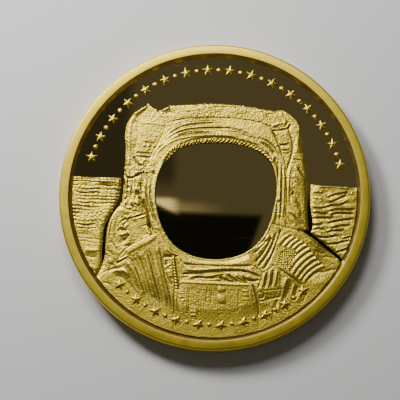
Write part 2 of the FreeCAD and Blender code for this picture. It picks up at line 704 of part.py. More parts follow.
def make_reverse_moon():
    body = new_body("ReverseMoon", REVERSE_LEVEL)
    body.Placement.Rotation = FACE_DOWN
    section = sketch_on(body, "XZ_Plane", "MoonSection")
    radius = size("moon_radius")
    height = size("moon_height")
    brow = radius - size("moon_slope")
    bound_polygon(section, [
        (0, 0, None, None),
        (radius, 0, "Sizes.moon_radius", None),
        (brow, height, "Sizes.moon_radius - Sizes.moon_slope", "Sizes.moon_height"),
        (0, height, None, "Sizes.moon_height"),
    ])
    add_revolution(body, section, "MoonDisc")
    sketch = sketch_on(body, "XY_Plane", "CraterCircles")
    sketch.setExpression("AttachmentOffset.Base.z", "Sizes.crater_floor")
    for centre, reach in CRATERS:
        sketch.addGeometry(Part.Circle(drawn(centre), Vector(0, 0, 1), reach * reduction))
    pocket = body.newObject("PartDesign::Pocket", "Craters")
    pocket.Profile = sketch
    pocket.setExpression("Length", "Sizes.rim_height")
    pocket.Reversed = True
    body.Tip = pocket
    return node(body, "reverse_moon")


def make_border():
    body, bead = make_ornament("border_beads", REVERSE_LEVEL, border_circle, bead_reaches, "bead")
    body.Placement.Rotation = FACE_DOWN
    around = "360 - 360 / Sizes.border_beads"
    return arc_row(body, bead, "border_beads", around, "Sizes.border_beads")


def make_all():
    make_blank()
    make_rim("rim_obverse", FIELD_LEVEL, 1)
    make_rim("rim_reverse", REVERSE_LEVEL, -1)
    bounds = make_bounds()
    high = make_level("HighRelief", "high_relief", bounds)
    middle = make_level("MiddleRelief", "middle_relief", bounds)
    opening = make_visor_opening()
    make_visor()
    high_floor = "Sizes.fold_floor"
    low_floor = "Sizes.low_fold_floor"
    make_device("hood", high, opening, high_floor)
    make_device("pack_left", high, top="Sizes.low_relief")
    make_device("pack_top", high, top="Sizes.low_relief")
    make_device("pack_right", high, top="Sizes.low_relief")
    make_device("harness_left", high, top="Sizes.low_relief")
    make_device("sleeve_left", middle, None, low_floor)
    make_device("shoulder_left", high, None, high_floor)
    make_device("collar", middle, opening)
    make_device("folds_right", high, opening, high_floor)
    make_device("neck_folds", middle, None, low_floor)
    make_device("hose_fitting", high, top="Sizes.low_relief")
    make_shoulder_right(high, high_floor)
    strap = relief_plate("strap_right", "Sizes.middle_relief")
    node(strap, "strap_right")
    make_side_right(middle, low_floor, strap)
    make_device("chest_panel", high, None, None, "Sizes.panel_height")
    make_hose(high)
    make_buttons()
    ground = make_disc("GroundDisc", "Sizes.ground_height")
    make_device("ground_left", ground)
    make_device("ground_right", ground)
    band_level = FIELD_LEVEL + " + Sizes.band_height"
    top_angle = 90
    foot_angle = 270
    make_stars("stars_upper", FIELD_LEVEL, "upper_angle", top_angle)
    make_beads("beads_upper", FIELD_LEVEL, "upper_angle", top_angle)
    make_stars("stars_lower", band_level, "lower_angle", foot_angle)
    make_beads("beads_lower", band_level, "lower_angle", foot_angle)
    make_reverse_moon()
    make_border()


make_all()
doc.recompute()

faults = []
for obj in doc.Objects:
    if "Invalid" in obj.State or "Error" in obj.State:
        faults.append("%s is in state %s" % (obj.Name, obj.State))
for obj in nodes:
    if obj.Shape.isNull() or not obj.Shape.isValid() or not obj.Shape.Solids:
        faults.append("%s has no valid solid" % obj.Label)
if faults:
    raise RuntimeError("; ".join(faults))

os.makedirs("parts", exist_ok=True)
for obj in nodes:
    obj.Shape.exportStep("parts/%s.step" % obj.Label)
    print("%-16s solids %2d volume %9.3f" % (obj.Label, len(obj.Shape.Solids), obj.Shape.Volume))
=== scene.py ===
# %% [markdown]
# # A struck medal with a frosted relief
# The object is a gold plated medal, 40 mm across and 3 mm thick, that lies on its reverse.
# Its obverse shows a bust in a spacesuit with a blank mirror visor, two strips of moon ground,
# a mirror field and a raised rim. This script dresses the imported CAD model: each piece stands for
# one plain solid, in its place and with a finer shape. A few outlines lie up to 0.4 mm off the
# solid's, and all pieces together fill the same box.

import math

import bpy
import numpy as np
from mathutils import Matrix, Vector


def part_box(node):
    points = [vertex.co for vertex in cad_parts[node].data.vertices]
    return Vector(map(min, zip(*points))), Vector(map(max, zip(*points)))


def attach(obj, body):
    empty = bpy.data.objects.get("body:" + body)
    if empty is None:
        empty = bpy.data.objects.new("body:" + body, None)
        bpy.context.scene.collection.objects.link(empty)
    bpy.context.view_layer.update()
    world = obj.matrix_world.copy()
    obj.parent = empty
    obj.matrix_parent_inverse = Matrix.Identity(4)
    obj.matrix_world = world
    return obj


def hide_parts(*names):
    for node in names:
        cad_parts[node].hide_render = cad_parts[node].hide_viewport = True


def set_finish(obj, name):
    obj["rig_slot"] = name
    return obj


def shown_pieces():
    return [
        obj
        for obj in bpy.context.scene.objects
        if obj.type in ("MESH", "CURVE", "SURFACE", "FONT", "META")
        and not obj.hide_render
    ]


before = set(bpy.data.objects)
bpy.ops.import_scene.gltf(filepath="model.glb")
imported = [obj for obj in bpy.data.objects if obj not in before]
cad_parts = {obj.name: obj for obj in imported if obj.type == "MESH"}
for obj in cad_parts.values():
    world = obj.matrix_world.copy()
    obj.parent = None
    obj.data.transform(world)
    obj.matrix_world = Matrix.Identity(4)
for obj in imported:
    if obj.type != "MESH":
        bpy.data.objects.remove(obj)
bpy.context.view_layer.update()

# %% [markdown]
# Blender works in metres and the medal was drawn in millimetres, so one factor turns one into the
# other. The two levels are the CAD's own: the mirror field of the obverse and that of the reverse,
# each a rim's height in from the face.

# %% Units and levels
MM = 0.001
MEDAL_RADIUS = 20.0
FIELD = 2.4
REVERSE_FIELD = 0.6
RELIEF_RADIUS = 18.3
BAND_RADIUS = 15.68
BAND_HEIGHT = 0.22
field_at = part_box("visor")[0][2] / MM
print("the field lies at %.3f mm" % field_at)

# %% [markdown]
# ## Camera
# A mirror surface shows what stands in one exact direction, so the camera comes first: all light
# is then judged through it. The camera stands 250 mm away, tipped by 11 degrees towards the
# medal's foot and turned a little. The three unit vectors below are its own axes.

# %% Camera
CAMERA_DISTANCE = 250.0
TILT = math.radians(11.005)
TURN = math.radians(10.055)
ROLL = math.radians(-2.2)
LENS = 175.18
AIM_RIGHT = -1.83
AIM_UP = -0.619

back = Vector((math.sin(TURN) * math.sin(TILT), -math.cos(TURN) * math.sin(TILT), math.cos(TILT)))
top_of_picture = Vector((math.sin(ROLL), math.cos(ROLL), 0.0))
right = top_of_picture.cross(back).normalized()
up = back.cross(right)
aim = Vector((0.0, 0.0, 3.0)) + right * AIM_RIGHT + up * AIM_UP

bpy.ops.object.select_all(action="DESELECT")
bpy.ops.object.camera_add()
camera = bpy.context.object
camera.name = "photo_camera"
camera.data.lens = LENS
camera.data.sensor_width = 36.0
camera.data.clip_start = 0.01
turned = Matrix((right, up, back)).transposed().to_4x4()
camera.matrix_world = Matrix.Translation((aim + back * CAMERA_DISTANCE) * MM) @ turned
bpy.context.scene.camera = camera
print("camera at", [round(value, 4) for value in camera.location])

# %% [markdown]
# ## Small tools
# An operator acts on everything that is selected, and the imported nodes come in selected. So each
# step first selects only its own piece, as an Add operator does by itself. A finished piece stands
# at the origin, unturned and unscaled, and its place is in its mesh.

# %% Selecting and finishing
def only(piece):
    """Selects one object and makes it the active one."""
    bpy.ops.object.select_all(action="DESELECT")
    piece.select_set(True)
    bpy.context.view_layer.objects.active = piece


def named(name):
    """The object that an Add operator has just made, with its name."""
    piece = bpy.context.object
    piece.name = name
    return piece


def edit(piece, mode, action="SELECT"):
    """Opens one object in edit mode with everything selected, or nothing."""
    only(piece)
    bpy.ops.object.mode_set(mode="EDIT")
    bpy.ops.mesh.select_mode(type=mode)
    bpy.ops.mesh.select_all(action=action)


def leave_edit():
    bpy.ops.object.mode_set(mode="OBJECT")


def settle(piece, smooth_angle):
    """Turns the faces outwards, puts the place into the mesh and smooths the soft edges."""
    only(piece)
    bpy.ops.object.transform_apply(location=True, rotation=True, scale=True)
    edit(piece, "FACE")
    bpy.ops.mesh.normals_make_consistent(inside=False)
    leave_edit()
    bpy.ops.object.shade_smooth_by_angle(angle=math.radians(smooth_angle))


def hand_in(piece, node, slot, smooth_angle):
    """Settles a piece and lets it stand for its CAD node."""
    settle(piece, smooth_angle)
    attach(piece, "root")
    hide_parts(node)
    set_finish(piece, slot)
    print(piece.name, "faces", len(piece.data.polygons))


# %% [markdown]
# ## The drawing
# The relief is drawn as a map. Each curve is written once and shared by the two devices that it
# parts, as in the CAD, so neighbours meet wall to wall. The numbers are millimetres from the
# medal's centre. The first list holds smooth curves and the second runs of straight lines.

# %% Curves of the drawing
SMOOTH_CURVES = {
    "pack_left_side": [(-10.9, 10.5), (-11.8, 8.4), (-11.65, 5.5), (-11.7, 3.1)],
    "pack_sill": [(-11.7, 3.1), (-10.4, 2.95), (-9.05, 3.3)],
    "hood_left_upper": [(-9.05, 3.3), (-8.3, 5.1), (-7.1, 7.6), (-6.7, 9.4)],
    "pack_top_edge": [(-6.3, 11.75), (-2.6, 12.05), (0.2, 12.2), (3.6, 11.95), (7.5, 11.45)],
    "hood_top": [(7.1, 9.1), (5.2, 9.95), (2.5, 10.25), (-0.5, 10.35), (-3.6, 10.1), (-6.7, 9.4)],
    "pack_right_top": [(8.3, 11.6), (9.6, 10.95), (10.65, 9.95), (10.95, 8.6)],
    "pack_right_side": [(11.15, 5.9), (11.6, 4.4), (11.85, 1.5), (12, -1.5), (12.2, -4)],
    "hood_right": [(9.3, -3.9), (9.3, -1), (9.2, 2), (8.8, 5.3), (7.1, 9.1)],
    "hood_left_middle": [(-9.05, 3.3), (-9.15, 1), (-8.8, -2.3)],
    "hood_left_lower": [(-8.8, -2.3), (-8.1, -4.1), (-7.2, -5.2)],
    "shoulder_left_neck": [(-6.2, -8), (-6.55, -6.9), (-7.2, -5.2)],
    "folds_right_side": [(7.9, -8.8), (8.05, -6.6), (8.6, -4.9), (9.3, -3.9)],
    "hose_right": [(-4, -11), (-4.1, -9.8), (-4.45, -8.1)],
    "hose_left": [(-5.2, -8.05), (-4.95, -9.6), (-4.75, -11), (-4.7, -12.3)],
    "fitting_left": [(-6.2, -8), (-6, -10), (-5.2, -11.5), (-4.7, -12.3)],
    "panel_left": [(-4.7, -12.3), (-4.6, -16), (-4.4, -21)],
    "panel_right": [(6.4, -21), (6.1, -14.4), (5.75, -12.6), (5.2, -11.2)],
    "shoulder_left_top": [(-7.2, -5.2), (-9.2, -6.15), (-11.2, -7.5), (-12.9, -9.7), (-14.7, -11)],
    "sleeve_side": [(-14.7, -11), (-13.8, -8.6), (-13.7, -5.5), (-13.2, -3.3), (-12.05, -1.7)],
    "sleeve_top": [(-12.05, -1.7), (-10.4, -2.4), (-8.8, -2.3)],
    "harness_side": [(-12.05, -1.7), (-11.75, 0.2), (-11.7, 3.1)],
    "shoulder_right_top": [(11.2, -4.25), (12.4, -4.85), (14.2, -6.2), (20.5, -11.2)],
    "shoulder_right_seam": [(15.5, -15), (13.2, -12.5), (11.1, -10.9), (7.9, -8.8)],
    "ground_left_side": [(-12.15, 1.95), (-12.3, -0.6), (-13.1, -2.5), (-13.95, -4.5), (-14.15, -7.5),
                         (-14.15, -9.9), (-15.1, -11.5)],
    "ground_right_foot": [(22, -12.3), (15.7, -6.8), (14.2, -5.6), (12.45, -4.3)],
    "ground_right_side": [(12.45, -4.3), (12.75, -3.3), (12.4, -1), (12.4, 1.9)],
}
STRAIGHT_CURVES = {
    "pack_left_top": [(-7.6, 11), (-9.05, 11.9), (-10.9, 10.5)],
    "pack_notch": [(-6.7, 9.4), (-7.6, 11)],
    "pack_top_corner": [(-7.6, 11), (-6.3, 11.75)],
    "pack_right_corner": [(7.5, 11.45), (8.3, 11.6)],
    "pack_right_seam": [(8.3, 11.6), (9.2, 10), (8.9, 9.4), (7.1, 9.1)],
    "pack_right_upper": [(10.95, 8.6), (11.15, 5.9)],
    "pack_right_foot": [(12.2, -4), (11.2, -4.25), (9.3, -3.9)],
    "collar_left_end": [(-7.2, -5.2), (-5.5, -3)],
    "visor_chord": [(-5.5, -3), (5.5, -3)],
    "folds_right_top": [(5.5, -3), (9.3, -3.9)],
    "collar_chord": [(-5.5, -3), (3.5, -5)],
    "collar_right_end": [(3.5, -5), (5.3, -8.9)],
    "folds_chord": [(3.5, -5), (5.5, -3)],
    "collar_bottom": [(5.3, -8.9), (-3.6, -8.95), (-4.45, -8.1)],
    "hose_top": [(-4.45, -8.1), (-5.2, -8.05)],
    "fitting_top": [(-5.2, -8.05), (-6.2, -8)],
    "neck_right_upper": [(5.3, -8.9), (6.6, -9.8)],
    "folds_right_foot": [(6.6, -9.8), (7.9, -8.8)],
    "neck_right_lower": [(6.6, -9.8), (6.1, -11.2), (5.2, -11.2)],
    "panel_top": [(5.2, -11.2), (-4, -11)],
    "hose_right_foot": [(-4.7, -12.3), (-4, -12.3), (-4, -11)],
    "panel_foot": [(-4.4, -21), (6.4, -21)],
    "shoulder_left_foot": [(-14.7, -11), (-20, -15), (-4.4, -21)],
    "shoulder_right_neck": [(9.3, -3.9), (11.2, -4.25)],
    "shoulder_right_foot": [(20.5, -11.2), (15.5, -15)],
    "side_right_foot": [(15.5, -15), (6.4, -21)],
    "strap_edge": [(6, -12.3), (9.1, -11.8), (8.9, -12.8), (6.2, -13.5), (6, -12.3)],
    "ground_left_top": [(-22, -11.5), (-22, 2), (-12.15, 1.95)],
    "ground_left_foot": [(-15.1, -11.5), (-22, -11.5)],
    "ground_right_top": [(12.4, 1.9), (22, 1.5), (22, -12.3)],
}
VISOR_POINTS = [(0.2, 7), (5, 6.25), (7.35, 4), (7.85, -0.4), (5.7, -6.15), (0.3, -8.25), (-5.2, -6.25),
                (-7.55, 0.4), (-5.3, 5.65)]
print("curves", len(SMOOTH_CURVES) + len(STRAIGHT_CURVES))

# %% [markdown]
# A smooth run passes each of its points parallel to the line between that point's neighbours, so
# it never kinks. The outline of a device is chained from its curves, each turned round where it
# runs the other way, and what lies outside the relief's circle is drawn in to the circle.

# %% From curves to outlines
RUN_STEPS = 10
LINE_STEP = 0.12


def smooth_run(points, closed=False):
    """Points along one smooth curve through the given points."""
    places = np.array(points, dtype=float)
    if closed:
        places = np.vstack([places, places[:1]])
        ways = np.roll(places[:-1], -1, axis=0) - np.roll(places[:-1], 1, axis=0)
        ways = np.vstack([ways, ways[:1]])
    elif len(places) == 2:
        ways = np.repeat([places[1] - places[0]], 2, axis=0)
    else:
        ways = np.empty_like(places)
        ways[1:-1] = places[2:] - places[:-2]
        ways[0] = 2 * (places[1] - places[0]) - ways[1] / 2
        ways[-1] = 2 * (places[-1] - places[-2]) - ways[-2] / 2
    ways /= np.linalg.norm(ways, axis=1)[:, None]
    reach = np.linalg.norm(np.diff(places, axis=0), axis=1)[:, None]
    run = []
    for t in np.arange(RUN_STEPS) / RUN_STEPS:
        before = (2 * t ** 3 - 3 * t ** 2 + 1) * places[:-1] + (t ** 3 - 2 * t ** 2 + t) * reach * ways[:-1]
        after = (3 * t ** 2 - 2 * t ** 3) * places[1:] + (t ** 3 - t ** 2) * reach * ways[1:]
        run.append(before + after)
    line = np.stack(run, axis=1).reshape(-1, 2)
    return line if closed else np.vstack([line, places[-1:]])


def straight_run(points):
    """Points along straight lines, close enough together to follow the relief's circle."""
    run = []
    for start, end in zip(np.array(points[:-1], dtype=float), np.array(points[1:], dtype=float)):
        count = max(1, math.ceil(np.linalg.norm(end - start) / LINE_STEP))
        run.append(start + (end - start) * (np.arange(count) / count)[:, None])
    run.append(np.array(points[-1:], dtype=float))
    return np.vstack(run)


def curve(name):
    if name in SMOOTH_CURVES:
        return smooth_run(SMOOTH_CURVES[name])
    return straight_run(STRAIGHT_CURVES[name])


def within_circle(line):
    """Points beyond the relief's circle are drawn in to it."""
    radius = np.hypot(line[:, 0], line[:, 1])[:, None]
    return line * np.minimum(1.0, RELIEF_RADIUS / np.maximum(radius, 0.001))


def outline(*names):
    """One closed line from the named curves, in the order in which they meet."""
    runs = [curve(name) for name in names]
    if len(runs) > 1:
        tail = runs[0][-1]
        apart = min(np.linalg.norm(runs[1][0] - tail), np.linalg.norm(runs[1][-1] - tail))
        if apart > 0.01:
            runs[0] = runs[0][::-1]
    chain = [runs[0][:-1]]
    tail = runs[0][-1]
    for run in runs[1:]:
        if np.linalg.norm(run[0] - tail) > np.linalg.norm(run[-1] - tail):
            run = run[::-1]
        chain.append(run[:-1])
        tail = run[-1]
    return within_circle(np.vstack(chain))


visor_line = smooth_run(VISOR_POINTS, closed=True)
print("visor outline", len(visor_line), "points")

# %% [markdown]
# Two questions are asked of the drawing again and again. Is a place inside a closed line? That is
# answered along each row of places, by counting how often the row crosses the line. And how far,
# and on which side, is a place from a line? That is measured to every short piece of the line,
# and the nearest one counts.

# %% Inside and nearest
# Places are measured this many at a time. TINY keeps a line of no length from dividing by zero
CHUNK = 4000
TINY = 1e-12


def closed_lines(loop):
    """Starts and ends of the short lines of a closed line."""
    return loop, np.roll(loop, -1, axis=0)


def inside(x, y, loop):
    """True for each place that lies within the closed line."""
    result = np.zeros(len(x), dtype=bool)
    nearer, further = closed_lines(loop)
    order = np.argsort(np.round(y, 6), kind="stable")
    rows, starts = np.unique(np.round(y[order], 6), return_index=True)
    for row, members in zip(rows, np.split(order, starts[1:])):
        crosses = (nearer[:, 1] > row) != (further[:, 1] > row)
        one = nearer[crosses]
        other = further[crosses]
        rise = (other[:, 0] - one[:, 0]) / (other[:, 1] - one[:, 1])
        cuts = np.sort(one[:, 0] + (row - one[:, 1]) * rise)
        result[members] = np.searchsorted(cuts, x[members]) % 2 == 1
    return result


def nearest(x, y, starts, ends):
    """Distance to the nearest short line, its number, the share along it and the side."""
    distance, share, side = np.empty((3, len(x)))
    pick = np.empty(len(x), dtype=int)
    along = ends - starts
    squared = np.maximum((along ** 2).sum(axis=1), TINY)
    for first in range(0, len(x), CHUNK):
        part = slice(first, first + CHUNK)
        px = x[part, None] - starts[:, 0]
        py = y[part, None] - starts[:, 1]
        shares = np.clip((px * along[:, 0] + py * along[:, 1]) / squared, 0, 1)
        gaps = np.hypot(px - shares * along[:, 0], py - shares * along[:, 1])
        best = gaps.argmin(axis=1)
        rows = np.arange(len(best))
        distance[part] = gaps[rows, best]
        pick[part] = best
        share[part] = shares[rows, best]
        side[part] = along[best, 0] * py[rows, best] - along[best, 1] * px[rows, best]
    return distance, pick, share, side


# %% [markdown]
# ## Carving strokes
# An engraver carves a relief stroke by stroke, and so does this script: the relief is a fine grid
# whose heights are worked out from a list of strokes. A stroke is a smooth line with a height and
# a width on each side. A positive height raises a ridge and a negative one sinks a groove. A narrow
# right side makes a lap, the sharp edge where one fold of cloth lies over the next. Sculpting by
# hand would look the same but could not be repeated exactly, and a noise pattern alone has no
# folds in the right places.

# %% Strokes
def ridge(points, height, width, other=None, fade=0.25):
    """A stroke: its line, height, widths to the left and right of its run, and faded ends."""
    return (points, height, width, width if other is None else other, fade)


def groove(points, depth, width, other=None, fade=0.25):
    return ridge(points, -depth, width, other, fade)


def knob(points, height, width):
    """A short ridge that rises and falls over almost all its length."""
    return ridge(points, height, width, width, 0.4)


# Every stroke is carved this many times its written height
DEPTH = 1.2
# A groove is this round at its floor, and a stroke counts up to so many widths away
GROOVE_FLOOR = 0.04
RIDGE_REACH = 2.4
GROOVE_REACH = 4.5


def ease(share):
    share = np.clip(share, 0, 1)
    return share * share * (3 - 2 * share)


def carve(x, y, strokes):
    """The sum of all strokes at each place, in millimetres."""
    total = np.zeros(len(x))
    for points, height, left, right_side, fade in strokes:
        line = smooth_run(points)
        reach = (RIDGE_REACH if height > 0 else GROOVE_REACH) * max(left, right_side)
        low = line.min(axis=0) - reach
        high = line.max(axis=0) + reach
        near = np.flatnonzero((x > low[0]) & (x < high[0]) & (y > low[1]) & (y < high[1]))
        if len(near) == 0:
            continue
        starts = line[:-1]
        ends = line[1:]
        distance, pick, share, side = nearest(x[near], y[near], starts, ends)
        lengths = np.linalg.norm(ends - starts, axis=1)
        gone = (np.cumsum(lengths) - lengths)[pick] + share * lengths[pick]
        gone /= lengths.sum()
        width = np.where(side > 0, left, right_side)
        tips = ease(gone / fade) * ease((1 - gone) / fade)
        if height > 0:
            section = np.exp(-(distance / width) ** 2)
        else:
            section = np.exp((GROOVE_FLOOR - np.hypot(distance, GROOVE_FLOOR)) / width)
        total[near] += DEPTH * height * section * tips
    return total


def fan(first, last, count, height, width, other=None, fade=0.25, wander=0.0, seed=1):
    """Strokes spread evenly from a first line to a last one, each a little off its place."""
    chance = np.random.RandomState(seed)
    first = np.array(first, dtype=float)
    last = np.array(last, dtype=float)
    strokes = []
    for number in range(count):
        share = (number + wander * chance.uniform(-1, 1)) / max(1, count - 1)
        strength = height * (1 + 1.5 * wander * chance.uniform(-1, 1))
        strokes.append(ridge(first + (last - first) * share, strength, width, other, fade))
    return strokes


# %% [markdown]
# Cloth, leather and ground also have a grain that no one draws line by line. It is smooth chance:
# random heights on a coarse net, blended between its knots. Stretching and turning the net gives
# the grain a direction.

# %% Grain
# Each net of chance has this many knots a side and then repeats. A dimple is shaken from its place
# by up to this share of the spacing
KNOTS = 64
DIMPLE_SHAKE = 0.25
DIMPLE_WIDTH_SQUARED = 0.07


def grain(x, y, size, seed, stretch=1.0, angle=0.0):
    """Smooth chance between -1 and 1, with knots about size apart."""
    turn = math.radians(angle)
    across = (x * math.cos(turn) + y * math.sin(turn)) / (size * stretch)
    along = (y * math.cos(turn) - x * math.sin(turn)) / size
    knots = np.random.RandomState(seed).uniform(-1, 1, (KNOTS, KNOTS))
    column = np.floor(across).astype(int)
    row = np.floor(along).astype(int)
    u = ease(across - column)
    v = ease(along - row)
    corners = [knots[(row + dy) % KNOTS, (column + dx) % KNOTS] for dy in (0, 1) for dx in (0, 1)]
    low_side = corners[0] * (1 - u) + corners[1] * u
    high_side = corners[2] * (1 - u) + corners[3] * u
    return low_side * (1 - v) + high_side * v


def crumple(x, y, size, seed, stretch=1.0, angle=0.0):
    """Chance with sharp crests, like crumpled leather, between -1 and 1."""
    return 1 - 3 * np.abs(grain(x, y, size, seed, stretch, angle))


def dimples(x, y, spacing, seed):
    """Round bumps between 0 and 1 on a shaken square net."""
    chance = np.random.RandomState(seed)
    shift = chance.uniform(-DIMPLE_SHAKE, DIMPLE_SHAKE, (KNOTS, KNOTS, 2))
    column = np.floor(x / spacing).astype(int)
    row = np.floor(y / spacing).astype(int)
    moved = shift[row % KNOTS, column % KNOTS]
    dx = x / spacing - column - 0.5 - moved[:, 0]
    dy = y / spacing - row - 0.5 - moved[:, 1]
    return np.exp(-(dx ** 2 + dy ** 2) / DIMPLE_WIDTH_SQUARED)


# %% [markdown]
# ## From a grid to a carved device
# Every device starts as a plain grid over its outline. The faces outside the outline are deleted,
# the edge that is left is moved onto the drawn line, and each vertex gets its height. The edge is
# then extruded down to the field and filled below, so that the piece is a closed solid. The grid is
# 0.06 mm fine, half of what one pixel of the picture shows.

# %% Sheet cut to an outline
PITCH = 0.06


def read(items, what, width, kind=float):
    """One property of all vertices, edges, faces or loops, as rows of numbers."""
    flat = np.empty(len(items) * width, dtype=kind)
    items.foreach_get(what, flat)
    return flat.reshape(-1, width)


def places_of(mesh):
    return read(mesh.vertices, "co", 3)


def edge_ends(mesh):
    return read(mesh.edges, "vertices", 2, np.int32)


def put_places(mesh, places):
    mesh.vertices.foreach_set("co", places.ravel())
    mesh.update()


def edge_vertices(mesh):
    """The vertices on the open edge of a sheet."""
    used = read(mesh.loops, "edge_index", 1, np.int32).ravel()
    open_edges = np.bincount(used, minlength=len(mesh.edges)) == 1
    return np.unique(edge_ends(mesh)[open_edges])


def tidy_cells(cells):
    """Drops cells that hang on by less than two sides and fills those that meet at a corner."""
    for repeat in range(3):
        ring = np.pad(cells, 1).astype(int)
        sides = ring[:-2, 1:-1] + ring[2:, 1:-1] + ring[1:-1, :-2] + ring[1:-1, 2:]
        cells = cells & (sides >= 2)
        falling = cells[:-1, :-1] & cells[1:, 1:] & ~cells[:-1, 1:] & ~cells[1:, :-1]
        rising = cells[:-1, 1:] & cells[1:, :-1] & ~cells[:-1, :-1] & ~cells[1:, 1:]
        cells[:-1, 1:] |= falling
        cells[:-1, :-1] |= rising
    return cells


def cut_sheet(name, loop, hole=None, pitch=PITCH):
    """A flat grid, cut to the closed line and round the hole."""
    low = np.floor(loop.min(axis=0) / pitch - 1) * pitch
    high = np.ceil(loop.max(axis=0) / pitch + 1) * pitch
    columns, rows = np.round((high - low) / pitch).astype(int)
    bpy.ops.mesh.primitive_grid_add(x_subdivisions=int(columns), y_subdivisions=int(rows), size=1)
    piece = named(name)
    mesh = piece.data
    places = places_of(mesh)
    places[:, :2] = low + (places[:, :2] + 0.5) * (high - low)
    put_places(mesh, places)
    x, y = read(mesh.polygons, "center", 3)[:, :2].T
    keep = inside(x, y, loop)
    if hole is not None:
        keep &= ~inside(x, y, hole)
    keep = tidy_cells(keep.reshape(rows, columns)).ravel()
    bpy.context.tool_settings.mesh_select_mode = (False, False, True)
    mesh.polygons.foreach_set("select", ~keep)
    bpy.ops.object.mode_set(mode="EDIT")
    bpy.ops.mesh.delete(type="FACE")
    leave_edit()
    return piece


# %% [markdown]
# The lines that an edge may be moved onto are those parts of the outline that lie outside the hole
# and those parts of the hole that lie inside the outline. The same lines say how near a place is
# to the device's edge, where the relief rounds down.

# %% Edge lines
def edge_lines(loop, hole=None):
    """Starts and ends of the short lines that bound the device."""
    starts, ends = closed_lines(loop)
    if hole is None:
        return starts, ends
    hole_starts, hole_ends = closed_lines(hole)
    outer = ~inside(*((starts + ends) / 2).T, hole)
    inner = inside(*((hole_starts + hole_ends) / 2).T, loop)
    return np.vstack([starts[outer], hole_starts[inner]]), np.vstack([ends[outer], hole_ends[inner]])


def snap_edge(piece, starts, ends):
    mesh = piece.data
    places = places_of(mesh)
    rim = edge_vertices(mesh)
    distance, pick, share, side = nearest(places[rim, 0], places[rim, 1], starts, ends)
    places[rim, :2] = starts[pick] + (ends - starts)[pick] * share[:, None]
    put_places(mesh, places)
    return distance.max()


def wall_down(piece):
    """Extrudes the open edge down to the field and closes the foot."""
    edit(piece, "EDGE", "DESELECT")
    bpy.ops.mesh.select_non_manifold(use_wire=False, use_multi_face=False,
                                     use_non_contiguous=False, use_verts=False)
    bpy.ops.mesh.extrude_edges_move()
    bpy.ops.transform.resize(value=(1, 1, 0), center_override=(0, 0, FIELD * MM))
    bpy.ops.mesh.fill(use_beauty=False)
    leave_edit()


# %% [markdown]
# The whole relief swells gently towards a summit a little under its middle, and in the lower ring,
# where the ornament stands, it comes down to a flat band. A device's own height is then the swell,
# its strokes and its grain, rounded down at its edge.

# %% Relief of one device
LOWEST = 0.05
HIGHEST = 0.57
FORM_STEPS = 9
FORM_HEIGHT = 0.035
# A grain is its height, the spacing of its knots, a seed, a stretch and an angle in degrees. This
# slow wave runs through all devices
SLOW_WAVE = (0.03, 2.2, 9, 1.4, 35)
SUMMIT = 0.53
SUMMIT_Y = -3.0
DOME_DIAMETER = 1000.0
BAND_EDGE = BAND_RADIUS + 0.9
SHOULDER_HEIGHT = 0.2
SHOULDER_WIDTH = 3.4
# Outside this radius and below this height the strokes lose this share, for the lower ornament
QUIET_SHARE = 0.5
QUIET_RADIUS = 15.0
QUIET_TOP = -10.6
FREE_DROP = 0.11
FREE_WIDTH = 0.26
LIP_WIDTH = 0.09


def swell(x, y, top):
    """A device's flat top under the gentle dome, eased down to the flat band near its edge."""
    dome = SUMMIT - (x ** 2 + (y - SUMMIT_Y) ** 2) / DOME_DIAMETER
    within = BAND_EDGE - np.hypot(x, y)
    band = BAND_HEIGHT + SHOULDER_HEIGHT * ease(within / SHOULDER_WIDTH)
    return np.minimum(np.minimum(top, dome), band)


FREE_CURVES = [
    "pack_left_top", "pack_left_side", "harness_side", "sleeve_side", "pack_top_corner", "pack_top_edge",
    "pack_right_corner", "pack_right_top", "pack_right_upper", "pack_right_side", "shoulder_right_top",
    "shoulder_right_foot", "side_right_foot", "panel_foot", "shoulder_left_foot", "ground_left_top",
    "ground_left_side", "ground_left_foot", "ground_right_top", "ground_right_foot", "ground_right_side",
]
free_runs = [within_circle(curve(name)) for name in FREE_CURVES]
free_starts = np.vstack([run[:-1] for run in free_runs])
free_ends = np.vstack([run[1:] for run in free_runs])


def off_circle(starts, ends):
    """The short lines that don't lie on the relief's circle."""
    off = np.hypot(*((starts + ends) / 2).T) < RELIEF_RADIUS - 0.1
    return starts[off], ends[off]


free_starts, free_ends = off_circle(free_starts, free_ends)


def quiet_band(x, y):
    """1 on most of the relief, and a half where the lower ornament stands."""
    outside = ease((np.hypot(x, y) - QUIET_RADIUS) / 1.2)
    return 1 - QUIET_SHARE * outside * ease((QUIET_TOP - y) / 0.8)


def note_form(mesh, height):
    """Keeps how far each vertex stands over or under its surroundings, from 1 to -1, for the shade and
    highlights that the frosted gold paints on.
    """
    pairs = edge_ends(mesh)
    one, other = pairs.T
    count = len(height)
    links = 1 + np.bincount(pairs.ravel(), minlength=count)
    around = height.copy()
    for repeat in range(FORM_STEPS):
        total = around + np.bincount(one, around[other], count) + np.bincount(other, around[one], count)
        around = total / links
    form = mesh.attributes.new("form", "FLOAT", "POINT")
    form.data.foreach_set("value", np.clip((height - around) / FORM_HEIGHT, -1, 1).astype(np.float32))


def free_edge(x, y):
    """How far each place rounds down towards an edge that no other device shares."""
    reach = 3 * FREE_WIDTH
    low = np.array([x.min(), y.min()]) - reach
    high = np.array([x.max(), y.max()]) + reach
    near = ((free_starts > low) & (free_starts < high)).all(axis=1)
    if not near.any():
        return 0.0
    away = nearest(x, y, free_starts[near], free_ends[near])[0]
    return FREE_DROP * np.exp(-(away / FREE_WIDTH) ** 2)


